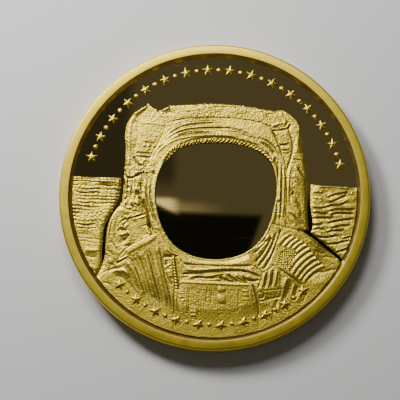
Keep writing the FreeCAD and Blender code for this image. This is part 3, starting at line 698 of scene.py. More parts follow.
def relief(name, loop, top, strokes=(), grains=(), hole=None, shape=None, lip=0.025, pitch=PITCH):
    """Carves one device: its swell, strokes, grains and rounded edge, as a closed solid."""
    piece = cut_sheet(name + "_relief", loop, hole, pitch)
    starts, ends = edge_lines(loop, hole)
    off = snap_edge(piece, starts, ends)
    places = places_of(piece.data)
    x, y = places[:, :2].T
    height = carve(x, y, strokes)
    for amount, *pattern in [*grains, SLOW_WAVE]:
        height += amount * grain(x, y, *pattern)
    height = swell(x, y, top) + height * quiet_band(x, y)
    if shape is not None:
        height = shape(x, y, height)
    height -= lip * np.exp(-(nearest(x, y, *off_circle(starts, ends))[0] / LIP_WIDTH) ** 2)
    note_form(piece.data, height)
    places[:, 2] = FIELD + np.clip(height - free_edge(x, y), LOWEST, HIGHEST)
    put_places(piece.data, places * MM)
    wall_down(piece)
    print(name, "edge moved by up to %.3f mm" % off, "height to %.2f mm" % height.max())
    hand_in(piece, name, "frosted_gold", 60)
    return piece


# %% [markdown]
# ## The relief, device by device
# Each device is one cell: its outline from the shared curves, then the strokes that are seen on
# it, its grains and what shapes it as a whole. Heights are millimetres over the swell, and a typical
# fold is 0.06 mm high and 0.2 mm wide.
#
# The hood is rolled cloth round the visor. Over the top it carries long shallow grooves that run
# with the visor's edge, and a scalloped ruffle next to the glass. Down the right side it has
# upright pleats, and down the left it is smooth with a few creases.

# %% Hood
hood_loop = outline("hood_top", "hood_left_upper", "hood_left_middle", "hood_left_lower",
                    "collar_left_end", "visor_chord", "folds_right_top", "hood_right")
visor_edge = closed_lines(visor_line)
visor_length = np.linalg.norm(visor_edge[1] - visor_edge[0], axis=1)
visor_run = np.cumsum(visor_length) - visor_length


def glass_lip(away):
    """The narrow bright lip of every device that borders on the visor."""
    crest = 0.05 * np.exp(-((away - 0.13) / 0.09) ** 2)
    foot = 0.04 * np.exp(-(away / 0.05) ** 2)
    return crest - foot


TUCK_LENGTH = 0.46
TUCK_SLANT = 0.6


def ruffle(x, y, height):
    """Rolls the hood down to the visor, with a rope of slanted tucks over the top."""
    away, pick, share, side = nearest(x, y, *visor_edge)
    run = visor_run[pick] + share * visor_length[pick]
    over_top = ease((y - 3.2) / 2.5) * (1 - 0.6 * ease((x - 4.0) / 2.5))
    wander = 0.5 * grain(x, y, 1.0, 6)
    tucks = np.sin(2 * math.pi * (run / TUCK_LENGTH - away / TUCK_SLANT + wander))
    rope = ease(away / 0.1) * ease((0.56 - away) / 0.14)
    roll = 0.07 * np.exp(-((away - 0.32) / 0.2) ** 2)
    fall_to_pack = 0.09 * ease((away - 0.9) / 2.4) * ease((y - 3.0) / 4.0)
    height = height + roll + 0.075 * over_top * rope * tucks - fall_to_pack
    return height + glass_lip(away) * (1 - over_top)


beside_hood = groove([(-10.1, 0.5), (-9.75, -0.2), (-9.25, -1.1), (-8.65, -2.0), (-8.35, -3.0),
                      (-8.15, -4.1), (-7.8, -5.0)], 0.16, 0.12, 0.14, 0.12)
hood_corner = groove([(-8.45, -3.6), (-8.15, -4.3), (-7.8, -5.0), (-7.5, -5.5)], 0.14, 0.16, 0.16, 0.4)
beside_pack = groove([(7.15, 9), (7.7, 7.9), (8.25, 6.6), (8.65, 5.4)], 0.09, 0.06, 0.09, 0.1)
hood_strokes = [
    beside_hood,
    hood_corner,
    groove([(-7, 3.4), (-6, 5.2), (-5.07, 6.3), (-3.9, 6.95), (-2.8, 7.3), (-1.2, 7.58), (0.7, 7.68),
            (2.6, 7.5), (4.4, 7.1), (5.6, 6.7)], 0.09, 0.05, 0.05, 0.1),
    ridge([(-7.9, 4.9), (-6.9, 6.15), (-5.5, 7.1), (-4.3, 7.5), (-2, 7.9), (0.7, 8),
           (3, 7.85)], 0.06, 0.15, 0.15, 0.1),
    ridge([(-7.3, 6.4), (-6.1, 7), (-5.1, 7.8), (-3.9, 8.3), (-2.4, 8.5), (0, 8.6)], 0.07, 0.13),
    ridge([(-6.7, 7.3), (-5.8, 7.9), (-4.5, 8.65), (-2.8, 9), (-1.2, 9.1), (1, 9.2),
           (2.6, 9.1)], 0.08, 0.14, 0.16),
    ridge([(-6.2, 8.5), (-5.3, 9.05), (-3.9, 9.45), (-2, 9.65), (0.7, 9.8)], 0.05, 0.15),
    ridge([(1.2, 8.7), (2.6, 8.6), (4, 8.2), (5.4, 7.7)], 0.06, 0.14, 0.16),
    ridge([(-0.5, 8.35), (1, 8.35), (2.4, 8.25), (3.4, 8.1)], 0.04, 0.12),
    groove([(-6.3, 7.75), (-5.3, 8.5), (-3.9, 8.95), (-2.2, 9.2)], 0.045, 0.08),
    groove([(-6.5, 6.9), (-5.3, 7.95), (-3.9, 8.5), (-2.2, 8.75), (0, 8.85), (2, 8.85)], 0.045, 0.08),
    groove([(-7.2, 5.6), (-6.3, 6.7), (-5.3, 7.5), (-4, 7.95), (-2, 8.2), (0.7, 8.2)], 0.05, 0.08),
    groove([(1, 9), (2.4, 8.9), (3.6, 8.5), (4.8, 8.1)], 0.05, 0.08),
    groove([(-8.3, 4.4), (-7.4, 5.9), (-6.4, 6.9)], 0.045, 0.08),
    beside_pack,
    groove([(5.5, 7.3), (6.5, 6.8), (7.3, 6), (7.7, 5.4)], 0.09, 0.14, 0.1),
    groove([(5.2, 7.8), (6.4, 7.45), (7.4, 6.8), (8.1, 5.9)], 0.07, 0.12),
    groove([(4.4, 7.1), (5.6, 6.7), (6.5, 6.1), (7.2, 5.3)], 0.07, 0.12),
    ridge([(4, 7.4), (5.2, 7), (6.3, 6.3), (7, 5.6)], 0.05, 0.12, 0.16),
    ridge([(5.6, 7.6), (6.7, 7.1), (7.5, 6.4), (8, 5.5)], 0.05, 0.12, 0.16),
    knob([(7.3, 5.3), (7.6, 5.05)], 0.1, 0.14),
    knob([(7.4, 5), (7.45, 4.7)], 0.08, 0.14),
    ridge([(8.3, 5), (8.4, 2), (8.4, -1), (8.3, -3.6)], 0.06, 0.12, 0.16),
    ridge([(8.75, 4.6), (8.9, 2), (8.9, -1), (8.8, -3.4)], 0.06, 0.1, 0.14),
    groove([(8.1, 5.2), (8.15, 2), (8.1, -1), (8, -3.4)], 0.05, 0.08, 0.1),
    groove([(8.55, 5), (8.65, 2), (8.65, -1), (8.5, -3.6)], 0.05, 0.07, 0.08),
    knob([(9.05, 3.1), (9.1, 2.5)], 0.06, 0.16),
    groove([(8.4, -0.4), (8.25, -0.8)], 0.1, 0.14, 0.14, 0.4),
    groove([(-8.6, 4.2), (-8.8, 3.8), (-8.9, 3.4)], 0.08, 0.12, 0.16),
    groove([(-8, 2.9), (-7.8, 2.6), (-7.7, 2.4)], 0.07, 0.12, 0.15),
    groove([(-8.5, 2), (-8.7, 0), (-8.25, -2), (-7.6, -3.6), (-6.9, -4.9)], 0.05, 0.07),
    groove([(-8.05, 2), (-8.2, 0), (-7.85, -2), (-7.2, -3.8), (-6.5, -4.9)], 0.045, 0.07),
    ridge([(-8.3, 2.2), (-8.45, 0), (-8.05, -2), (-7.4, -3.7)], 0.04, 0.1),
    ridge([(-8.9, 2), (-9, 0.3), (-8.6, -1.4)], 0.05, 0.12),
    groove([(-8.95, 1.4), (-8.9, 0.3), (-8.5, -1)], 0.045, 0.07),
    knob([(-8.95, 2.9), (-8.85, 2.6)], 0.07, 0.14),
    knob([(-8.2, 3.3), (-8, 2.9)], 0.06, 0.14),
    ridge([(-8, -2), (-7.75, -3), (-7.3, -4.2), (-6.8, -5)], 0.05, 0.14),
    ridge([(-8.4, 6.8), (-7.9, 7.7), (-7.2, 8.7)], 0.04, 0.2),
]
hood_strokes += fan(
    [(-7.4, 6.6), (-6.3, 8.2), (-4.8, 9.4), (-2.4, 10.0), (0.5, 10.2), (3.4, 9.8)],
    [(-7.8, 5.0), (-6.6, 6.6), (-5.0, 7.6), (-2.2, 8.2), (0.9, 8.3), (3.9, 7.9)],
    9, -0.032, 0.05, 0.1, 0.25, 0.35, 7)
hood_strokes += fan(
    [(-7.2, 6.9), (-6.1, 8.3), (-4.6, 9.5), (-2.2, 10.0), (0.3, 10.1)],
    [(-7.7, 5.3), (-6.5, 6.8), (-4.9, 7.8), (-2.2, 8.4), (0.6, 8.5)],
    7, 0.03, 0.1, 0.1, 0.25, 0.35, 8)
relief("hood", hood_loop, 0.42, hood_strokes, [(0.006, 0.5, 3, 2.0, 20), (0.014, 0.17, 4)],
       hole=visor_line, shape=ruffle)

# %% [markdown]
# The life support pack stands behind the head in three parts: left, top and right. Its cloth is
# leathery, with raised lips where its cover is folded back, a flap and pocket on the left, and a
# smooth oval panel on the right. Each lip is a ridge with its narrow side outwards, and a dark
# line lies inside it.

# %% Pack, left part
pack_left_loop = outline("pack_left_top", "pack_left_side", "pack_sill", "hood_left_upper", "pack_notch")
pack_left_strokes = [
    ridge([(-10.8, 10.35), (-10, 10.98), (-9.1, 11.6)], 0.12, 0.13, 0.16, 0.1),
    ridge([(-9, 11.75), (-8.3, 11.3), (-7.7, 11)], 0.06, 0.12, 0.2, 0.1),
    groove([(-10.1, 9.8), (-10.3, 8.9), (-10.2, 7.5), (-10.4, 6.4), (-10.5, 5.2), (-10.3, 4.2),
            (-9.9, 3.6)], 0.03, 0.12, 0.16),
    ridge([(-11, 10.1), (-11.3, 8.4), (-11.25, 5.6), (-11.3, 3.4)], 0.05, 0.24, 0.24, 0.1),
    ridge([(-9.95, 9.35), (-8.9, 9.3), (-7.6, 9.2), (-6.7, 9.1)], 0.03, 0.2, 0.12, 0.1),
    ridge([(-11.2, 9.4), (-10.6, 10.4), (-9.9, 11.1), (-9.1, 11.6)], 0.06, 0.3, 0.3, 0.2),
    groove([(-9.4, 6.75), (-8.6, 6.65), (-7.7, 6.55)], 0.06, 0.1, 0.12),
    knob([(-9.4, 6.35), (-9.1, 6.3)], 0.08, 0.2),
    knob([(-8.8, 6.4), (-8.5, 6.2)], 0.08, 0.16),
    knob([(-8.9, 5.9), (-8.6, 5.75)], 0.07, 0.14),
    knob([(-8.2, 6.4), (-7.8, 6.2)], 0.07, 0.16),
    ridge([(-10, 5.1), (-9.2, 5), (-8.3, 4.95)], 0.06, 0.12, 0.12, 0.1),
    groove([(-10.4, 5.35), (-9.4, 5.3), (-8.2, 5.25)], 0.06, 0.07, 0.08, 0.1),
    groove([(-10.3, 4.85), (-9.4, 4.75), (-8.5, 4.7)], 0.06, 0.08, 0.08, 0.1),
    groove([(-10.5, 5), (-10.35, 4.3), (-9.9, 3.75), (-9.3, 3.5)], 0.08, 0.12, 0.12),
    ridge([(-9.75, 4.2), (-9.5, 3.95), (-9.2, 3.9)], 0.06, 0.2, 0.2, 0.3),
    knob([(-9.3, 4.5), (-8.9, 4.4)], 0.05, 0.18),
]
relief("pack_left", pack_left_loop, 0.31, pack_left_strokes,
       [(0.008, 0.35, 11), (0.016, 0.16, 12)])

# %% Pack, top part
pack_top_loop = outline("pack_top_corner", "pack_top_edge", "pack_right_corner", "pack_right_seam",
                        "hood_top", "pack_notch")
pack_top_strokes = [
    ridge([(-7.3, 10.95), (-6.8, 11.25), (-6.2, 11.5)], 0.13, 0.13, 0.18, 0.1),
    groove([(-6.9, 10.75), (-6, 10.8), (-5.2, 10.85)], 0.05, 0.12, 0.16),
    ridge([(-6.2, 11.6), (-4.4, 11.8), (-2.6, 11.9)], 0.05, 0.1, 0.2, 0.1),
    ridge([(-2.2, 11.95), (0.2, 12.05), (2.6, 11.9)], 0.04, 0.1, 0.2, 0.1),
    groove([(-1, 11.7), (0.5, 11.78), (2, 11.75), (3.5, 11.5)], 0.04, 0.1, 0.1),
    ridge([(7.1, 9.45), (7.9, 9.7), (8.6, 9.85), (9, 10.15)], 0.05, 0.2, 0.14, 0.1),
    ridge([(5, 11.6), (6.4, 11.45), (7.6, 11.3)], 0.05, 0.12, 0.18, 0.1),
    groove([(6, 10.8), (6.8, 10.5), (7.3, 10)], 0.04, 0.14, 0.14),
]
relief("pack_top", pack_top_loop, 0.31, pack_top_strokes,
       [(0.01, 0.42, 21, 1.4, 10), (0.022, 0.16, 22)])

# %% Pack, right part
pack_right_loop = outline("pack_right_top", "pack_right_upper", "pack_right_side", "pack_right_foot",
                          "hood_right", "pack_right_seam")
pack_right_strokes = [
    ridge([(8.5, 11.4), (9.6, 10.75), (10.4, 9.8), (10.65, 8.6)], 0.07, 0.18, 0.1, 0.1),
    groove([(9.45, 9.9), (9.35, 8.9), (9.8, 7.5), (9.9, 6.5), (9.75, 5.4), (9.4, 4.2),
            (9.2, 3.3)], 0.08, 0.06, 0.08, 0.1),
    groove([(7.2, 8.8), (8.4, 8.95), (9.2, 9.25), (9.5, 9.8)], 0.1, 0.05, 0.1, 0.1),
    beside_pack,
    ridge([(7.7, 7.35), (8.5, 7.2), (9.4, 7.4)], 0.09, 0.12, 0.12, 0.2),
    groove([(7.9, 6.95), (8.6, 6.85), (9.4, 7)], 0.04, 0.08),
    ridge([(8.3, 6.5), (8.9, 6.45), (9.5, 6.6)], 0.08, 0.08, 0.1),
    ridge([(8.4, 6.05), (8.9, 6), (9.5, 6.1)], 0.07, 0.08, 0.1),
    ridge([(10.4, 8.4), (10.45, 7), (10.5, 5.7)], 0.04, 0.24),
    groove([(9.9, 5.2), (10.6, 5.05), (11.2, 5.05)], 0.06, 0.09, 0.12),
    ridge([(9.8, 4.5), (9.5, 2), (9.6, -1.2)], 0.05, 0.1, 0.2),
    ridge([(9.8, 0.2), (10.4, -1), (11.2, -2.4)], 0.05, 0.4, 0.3),
    ridge([(10.2, 4.4), (10.7, 3.4), (11.5, 2.2)], 0.05, 0.2, 0.2),
    ridge([(10, 3.4), (10.6, 2.2), (11.5, 0.8)], 0.05, 0.2, 0.3),
    groove([(9.7, 1.6), (10.2, 0.5), (10.9, -0.6), (11.4, -1.6)], 0.05, 0.1, 0.3),
    groove([(10.6, 4.2), (11.1, 3.5), (11.6, 2.9)], 0.05, 0.08, 0.16),
    groove([(9.8, 3), (10.5, 2.1), (11.5, 0.9)], 0.045, 0.08, 0.2),
    groove([(9.9, 0.65), (10.3, 0.5)], 0.07, 0.12, 0.12, 0.4),
    groove([(9.4, -1.8), (10.5, -2.6), (11.5, -3.8)], 0.05, 0.09, 0.12),
    groove([(9.3, -2.4), (9.8, -2.9), (10.2, -3.6)], 0.045, 0.08, 0.1),
    groove([(9.2, -3.2), (9.5, -3.5), (9.8, -4)], 0.045, 0.08, 0.1),
    ridge([(9.6, -1.55), (10.6, -2.25), (11.6, -3.4)], 0.045, 0.14, 0.1),
]


def cushion(x, y, height):
    """The oval panel of the pack falls away to its right side."""
    return height - 0.1 * ease((x - 10.0) / 1.8) * ease((5.2 - y) / 0.5)


relief("pack_right", pack_right_loop, 0.31, pack_right_strokes,
       [(0.02, 1.6, 31, 2.0, -40), (0.012, 0.17, 32)], shape=cushion)

# %% [markdown]
# Below the pack's left side hangs the harness block, with a rolled lip over wavy upright ridges,
# and under it the upper sleeve, a stack of broad folds with a flat stitched pad. Both stand free
# of the ground to their left, so their outer edge catches light.

# %% Harness block and sleeve
harness_loop = outline("pack_sill", "hood_left_middle", "sleeve_top", "harness_side")


def leather(x, y, height):
    """Upright crumples in the cloth of the harness block."""
    return height + 0.035 * crumple(x, y, 0.75, 43, 0.4, 8)


harness_strokes = [
    beside_hood,
    ridge([(-11.4, 2.35), (-10.7, 2.2), (-10.2, 2.6), (-9.6, 2.85),
           (-9.1, 2.8)], 0.11, 0.12, 0.09, 0.1),
    groove([(-11.4, 2), (-10.6, 1.95), (-10.2, 2.25), (-9.5, 2.5)], 0.11, 0.06, 0.1, 0.1),
    groove([(-11.3, 1.8), (-11.15, 0.8), (-11.3, -0.2), (-11, -0.8)], 0.05, 0.07),
    groove([(-10.7, 1.9), (-10.6, 1), (-10.75, 0.2)], 0.06, 0.07),
    groove([(-9.6, 2.2), (-9.5, 1.2), (-9.3, 0.2), (-9, -0.6)], 0.06, 0.07),
    ridge([(-10.4, -1.1), (-9.9, -1.3), (-9.6, -1.7)], 0.11, 0.2, 0.2, 0.3),
    ridge([(-9.9, -0.3), (-9.5, -0.4), (-9.1, -1)], 0.09, 0.12, 0.1, 0.3),
    groove([(-10.7, -1.5), (-10.3, -1.8), (-9.9, -1.95)], 0.08, 0.07, 0.1),
    ridge([(-11.6, 2.4), (-11.45, 1.2), (-11.5, -0.2), (-11.65, -0.9), (-11.9, -1.4)], 0.05, 0.1, 0.16),
]
relief("harness_left", harness_loop, 0.33, harness_strokes, [(0.014, 0.18, 42)], shape=leather)

sleeve_loop = outline("sleeve_side", "sleeve_top", "hood_left_lower", "shoulder_left_top")


def on_patch(x, y, corners, fade):
    """1 inside the closed line and 0 outside it, with a soft edge of the given width."""
    away = nearest(x, y, *closed_lines(corners))[0]
    return np.where(inside(x, y, corners), ease(away / fade), 0.0)


PAD = np.array([(-10.9, -3.5), (-8.7, -2.95), (-8.3, -5.6), (-10.4, -6.7)])


def pad(x, y, height):
    """The flat stitched pad of the sleeve among crumpled folds."""
    depth = on_patch(x, y, PAD, 0.2)
    rough = 0.03 * crumple(x, y, 0.6, 53, 1.6, 50) * ease((x + 12.6) / 0.8)
    return height + depth * (0.32 - height) * 0.6 + rough * (1 - 0.7 * depth)


sleeve_strokes = [
    beside_hood,
    hood_corner,
    ridge([(-12, -2), (-13, -3.4), (-13.5, -5.5), (-13.6, -8.4)], 0.05, 0.12, 0.2, 0.1),
    ridge([(-10.5, -3.15), (-9.5, -2.7), (-8.7, -2.5)], 0.1, 0.1, 0.12, 0.1),
    groove([(-10.6, -3.4), (-9.5, -2.98), (-8.7, -2.75)], 0.03, 0.06, 0.06, 0.1),
    ridge([(-10.4, -3.55), (-9.5, -3.25), (-8.8, -3.1)], 0.05, 0.08, 0.12, 0.1),
    groove([(-11.8, -3.75), (-11.4, -3.55), (-11, -3.45)], 0.08, 0.07, 0.1),
    groove([(-11.6, -4.4), (-11.3, -4), (-10.9, -3.7)], 0.08, 0.07, 0.1),
    groove([(-11.8, -5), (-11.4, -4.9), (-11, -5.1)], 0.09, 0.08, 0.12),
    groove([(-11.5, -6.4), (-11.1, -6), (-10.7, -5.4)], 0.1, 0.07, 0.1),
    groove([(-11.3, -7.05), (-10.8, -6.85), (-10.3, -6.95)], 0.08, 0.07, 0.1),
    ridge([(-11.9, -5.6), (-11.5, -5.4), (-11.2, -5.5)], 0.07, 0.14),
    ridge([(-11.4, -3), (-11.1, -3.2), (-10.9, -3.1)], 0.07, 0.14),
    groove([(-12.7, -2.8), (-13.1, -4.5), (-13.1, -6.3), (-12.5, -7.5)], 0.04, 0.08, 0.12),
    groove([(-12.2, -2.7), (-12.5, -4.2), (-12.5, -5.8), (-12, -7.2)], 0.035, 0.08, 0.12),
    groove([(-13.2, -6.2), (-12.6, -6.9), (-12, -7.9)], 0.05, 0.07, 0.1),
    groove([(-13.3, -7.5), (-12.9, -8), (-12.6, -8.3)], 0.05, 0.07),
    groove([(-8.9, -4), (-8.75, -4.4)], 0.08, 0.1, 0.1, 0.4),
    knob([(-8.45, -4.4), (-8.35, -4.7)], 0.07, 0.1),
    knob([(-8.5, -4.95), (-8.35, -5.2)], 0.07, 0.1),
    knob([(-8.7, -5.5), (-8.4, -5.7)], 0.07, 0.1),
    groove([(-10.3, -6.75), (-9.3, -6.35), (-8.5, -6), (-7.8, -5.5)], 0.07, 0.05, 0.08, 0.1),
    ridge([(-13.1, -8.6), (-12.95, -9), (-12.9, -9.4)], 0.05, 0.22, 0.22, 0.3),
]
relief("sleeve_left", sleeve_loop, 0.36, sleeve_strokes, [(0.012, 0.18, 52)], shape=pad)

# %% [markdown]
# The left shoulder is a fan of long folds that spread from under the hose towards the rim. The
# light falls across them, so each fold has one bright flank and one dark one, and a hollow parts
# each from the next. The first and last folds are drawn and the rest are spread between them.

# %% Left shoulder
shoulder_left_loop = outline("shoulder_left_top", "shoulder_left_foot", "panel_left", "fitting_left",
                             "shoulder_left_neck")
shoulder_left_strokes = [
    ridge([(-7.2, -5.4), (-8.2, -6.3), (-9.2, -6.85), (-10.2, -7.4), (-11, -8)], 0.04, 0.2, 0.5, 0.1),
    ridge([(-9.4, -7.6), (-8.3, -9.3), (-7.6, -11.4), (-6.9, -13.6)], 0.05, 0.3, 0.3, 0.1),
    ridge([(-7.3, -6.8), (-6.7, -9), (-6.1, -11.5), (-5.4, -13.8)], 0.05, 0.3, 0.3, 0.1),
    ridge([(-10.9, -8.9), (-10, -10), (-9.2, -11.6), (-8.5, -13.2)], 0.06, 0.26, 0.3, 0.1),
    ridge([(-12.7, -10.15), (-11.9, -10.1), (-11.1, -10.2), (-10.3, -10.9)], 0.08, 0.2, 0.3),
    groove([(-11, -8.5), (-11.6, -8.9), (-12.3, -9.3)], 0.14, 0.08, 0.12),
    ridge([(-10.7, -8.2), (-11.4, -8.55), (-12.1, -8.95)], 0.1, 0.08, 0.08),
    groove([(-13.4, -10.4), (-12.8, -10), (-12, -9.8), (-11.3, -9.6)], 0.09, 0.06, 0.08),
    groove([(-12.7, -10.9), (-11.4, -11), (-10.4, -11.9), (-9.4, -12.9),
            (-8.5, -13.8)], 0.05, 0.12, 0.3),
    groove([(-13.9, -11.9), (-13.2, -11.8), (-12.6, -12.3)], 0.08, 0.07, 0.1),
]
FIRST_FOLD = [(-10.9, -8.2), (-10.0, -9.1), (-9.3, -10.5), (-8.8, -11.9), (-8.3, -13.2), (-7.9, -14.4)]
LAST_FOLD = [(-7.0, -6.4), (-6.6, -8.0), (-6.2, -9.8), (-5.7, -11.6), (-5.2, -13.6), (-4.9, -15.6)]
shoulder_left_strokes += fan(FIRST_FOLD, LAST_FOLD, 8, -0.055, 0.05, 0.12, 0.15, 0.25, 63)
shoulder_left_strokes += fan(FIRST_FOLD, LAST_FOLD, 24, -0.025, 0.04, 0.06, 0.2, 0.4, 65)
shoulder_left_strokes += fan(
    [(-11.6, -9.2), (-10.6, -10.2), (-9.8, -11.5), (-9.0, -13.0)],
    [(-10.4, -8.5), (-9.5, -9.7), (-8.9, -11.2), (-8.3, -13.4)],
    6, -0.035, 0.05, 0.07, 0.2, 0.3, 64)
relief("shoulder_left", shoulder_left_loop, 0.42, shoulder_left_strokes,
       [(0.006, 0.45, 61, 2.5, -60), (0.009, 0.17, 62, 1.4, -60)])

# %% [markdown]
# Under the visor come the smooth collar, the crumpled folds of the neck, and to the right a bundle
# of narrow folds that swings round the helmet. The collar is brightest next to the glass. The neck
# has two crossing sets of rolls and, at its right, three leaf-shaped hollows.

# %% Collar
collar_loop = outline("collar_left_end", "collar_chord", "collar_right_end", "collar_bottom",
                      "hose_top", "fitting_top", "shoulder_left_neck")


COLLAR_RISE = 0.2
COLLAR_REACH = 1.1
COLLAR_FOOT = -0.16


def roll_to_visor(x, y, height):
    """The collar rises from the visor outwards, so that its face turns up to the light."""
    away = nearest(x, y, *visor_edge)[0]
    rise = COLLAR_RISE * ease(away / COLLAR_REACH) + COLLAR_FOOT
    return height + rise + glass_lip(away)


collar_strokes = [
    groove([(-6.3, -7.8), (-5.8, -8), (-5, -8), (-4.2, -8.05)], 0.12, 0.05, 0.09, 0.1),
    ridge([(-6.2, -6.9), (-5.4, -7.4), (-4.2, -7.9), (-2.6, -8.4)], 0.04, 0.14, 0.2),
    groove([(-5.6, -6.9), (-4.6, -7.5), (-3.4, -8)], 0.03, 0.1, 0.14),
]
relief("collar", collar_loop, 0.4, collar_strokes, [(0.005, 0.5, 71, 2.0, -15), (0.008, 0.17, 72)],
       hole=visor_line, shape=roll_to_visor)

# %% Neck folds
neck_loop = outline("collar_bottom", "neck_right_upper", "neck_right_lower", "panel_top", "hose_right")
neck_strokes = [
    groove([(-3.8, -9.05), (-2, -9.12), (0.5, -9.12), (3, -9.05), (5.2, -9.05)], 0.07, 0.05, 0.06, 0.1),
    ridge([(-3.6, -9.5), (-2.2, -9.75), (0, -9.55), (2, -9.4), (4, -9.4), (5.5, -9.8),
           (6.4, -10.3)], 0.07, 0.16, 0.14, 0.1),
    groove([(-3.9, -10.35), (-2.7, -10.2), (-1, -10.05), (0.5, -9.88), (2, -9.72), (4.4, -9.72),
            (5.4, -10), (6.4, -10.5)], 0.14, 0.05, 0.11, 0.08),
    groove([(-2.9, -9.45), (-1.4, -9.35), (0.2, -9.35)], 0.05, 0.06),
    ridge([(-2.8, -10.75), (-1.8, -10.4), (-0.5, -10.5), (1, -10.15), (1.9, -10.05)], 0.1, 0.12, 0.12),
    groove([(-2.6, -10.95), (-1.2, -10.75), (0, -10.8), (1, -10.6)], 0.06, 0.06),
    groove([(1, -10.5), (1.6, -10.85), (2.3, -11.1)], 0.1, 0.06, 0.1),
    groove([(2, -10), (2.8, -10.7), (3.8, -11.15)], 0.12, 0.06, 0.1),
    groove([(3.9, -10.3), (4.6, -10.8), (5.4, -10.9), (6.2, -10.8)], 0.12, 0.06, 0.1),
    ridge([(1.5, -10.25), (2.1, -10.7), (2.9, -11)], 0.08, 0.1),
    ridge([(3, -10), (3.7, -10.55), (4.5, -10.95)], 0.08, 0.12),
    ridge([(4.5, -10.2), (5.2, -10.55), (6.1, -10.6)], 0.08, 0.1),
    groove([(-3.9, -10.9), (-3.3, -10.7), (-2.8, -10.8)], 0.06, 0.06),
]
relief("neck_folds", neck_loop, 0.35, neck_strokes, [(0.006, 0.3, 81, 1.5), (0.009, 0.17, 82)])

# %% Hose fitting
fitting_loop = outline("fitting_top", "hose_left", "fitting_left")
fitting_strokes = [
    groove([(-6.2, -8.12), (-5.7, -8.18), (-5.2, -8.18)], 0.1, 0.05, 0.1, 0.05),
    groove([(-5.9, -8.5), (-5.75, -8.9), (-5.9, -9.4)], 0.07, 0.2, 0.14, 0.3),
    ridge([(-6, -9.7), (-5.6, -9.3), (-5.15, -9.15)], 0.05, 0.1, 0.1),
    ridge([(-5.5, -9.8), (-5.2, -10.9)], 0.05, 0.26, 0.26, 0.2),
    groove([(-6.1, -10.1), (-5.85, -10.8), (-5.4, -11.35), (-4.9, -11.8)], 0.12, 0.06, 0.1, 0.1),
]
relief("hose_fitting", fitting_loop, 0.34, fitting_strokes, [(0.01, 0.2, 91)])

# %% Right folds
folds_loop = outline("folds_right_top", "folds_right_side", "folds_right_foot", "neck_right_upper",
                     "collar_right_end", "folds_chord")
folds_strokes = fan([(6.6, -5), (5.9, -5.9), (5.1, -6.6)], [(9.1, -4.4), (8.7, -6.3), (7.8, -8.9)],
                    5, 0.05, 0.16, 0.22, 0.1, 0.06, 96)
folds_strokes += [
    groove([(8.75, -3.9), (8.2, -6), (7.3, -8.3), (6.5, -9.5)], 0.12, 0.05, 0.1, 0.1),
    groove([(8.1, -4.5), (7.6, -6.3), (6.7, -8.1), (5.9, -9.1)], 0.12, 0.05, 0.1, 0.1),
    groove([(7.6, -5.1), (6.9, -6.7), (6.1, -7.9), (5.5, -8.6)], 0.11, 0.05, 0.1, 0.12),
    groove([(7, -5.4), (6.3, -6.5), (5.3, -7.4)], 0.1, 0.05, 0.1, 0.15),
    groove([(6.4, -5.6), (5.8, -6.3), (5, -6.8)], 0.08, 0.05, 0.1),
    groove([(9, -4.5), (8.5, -6.6), (7.9, -8.4)], 0.07, 0.05, 0.1, 0.15),
]


def lip_at_visor(x, y, height):
    return height + glass_lip(nearest(x, y, *visor_edge)[0])


relief("folds_right", folds_loop, 0.42, folds_strokes, [(0.006, 0.3, 95, 2.0, 60), (0.008, 0.17, 97)],
       hole=visor_line, shape=lip_at_visor)

# %% [markdown]
# The right shoulder is ribbed like a bellows: about ten ribs run down and inwards from its upper
# edge, spread like a fan. Beside the neck lies a stippled patch, as a punch would leave it, and
# outside a second seam the cloth falls in broad soft folds.

# %% Right shoulder
shoulder_right_loop = outline("shoulder_right_neck", "shoulder_right_top", "shoulder_right_foot",
                              "shoulder_right_seam", "folds_right_side")
RIB_TOPS = [(9.9, -4.7), (10.5, -5.05), (11.1, -5.3), (11.6, -5.6), (12.1, -6.0), (12.5, -6.5),
            (12.95, -7.05), (13.35, -7.6), (13.85, -8.1), (14.35, -8.55)]
RIB_FEET = [(8.4, -6.2), (9.1, -6.4), (9.7, -6.6), (10.3, -6.7), (10.8, -7.1), (9.6, -9.6),
            (10.2, -10.0), (10.75, -10.4), (11.2, -10.7), (11.7, -10.9)]


def ribs(tops, feet, height, width):
    """One stroke from each top to its foot, bowed a little outwards."""
    strokes = []
    for top, foot in zip(np.array(tops), np.array(feet)):
        across = np.array([foot[1] - top[1], top[0] - foot[0]])
        middle = (top + foot) / 2 + across * 0.08
        strokes.append(ridge([top, middle, foot], height, width, width * 0.8, 0.12))
    return strokes


shoulder_right_strokes = ribs(RIB_TOPS, RIB_FEET, 0.036, 0.19)
between = [(np.array(ends[:-1]) + np.array(ends[1:])) / 2 for ends in (RIB_TOPS, RIB_FEET)]
shoulder_right_strokes += ribs(*between, -0.035, 0.05)
for top in RIB_TOPS[3:]:
    shoulder_right_strokes.append(knob([top, np.array(top) - (0.25, 0.3)], 0.09, 0.14))
shoulder_right_strokes += [
    groove([(8.4, -9.2), (9.4, -9.9), (10.3, -10.5), (11.3, -11), (12, -11)], 0.08, 0.08, 0.12),
    ridge([(8.4, -8.7), (9.3, -9.3), (10.3, -10), (11.1, -10.5)], 0.05, 0.14),
    groove([(12.8, -6.6), (13.7, -6.9), (14.6, -7.2)], 0.05, 0.1),
    groove([(14, -7.4), (15, -7.5), (16.1, -7.7)], 0.04, 0.12),
    groove([(14.2, -9.5), (15.1, -9.2), (16.2, -9)], 0.04, 0.14),
    groove([(12.2, -10.9), (12.7, -10.1), (13.6, -9.5), (14.8, -9.6)], 0.05, 0.14, 0.2),
    ridge([(13, -11.6), (14, -10.8), (15, -10.2)], 0.04, 0.5),
    ridge([(12.2, -5.2), (13.4, -6), (15.2, -7), (16.6, -8)], 0.04, 0.1, 0.2, 0.1),
]
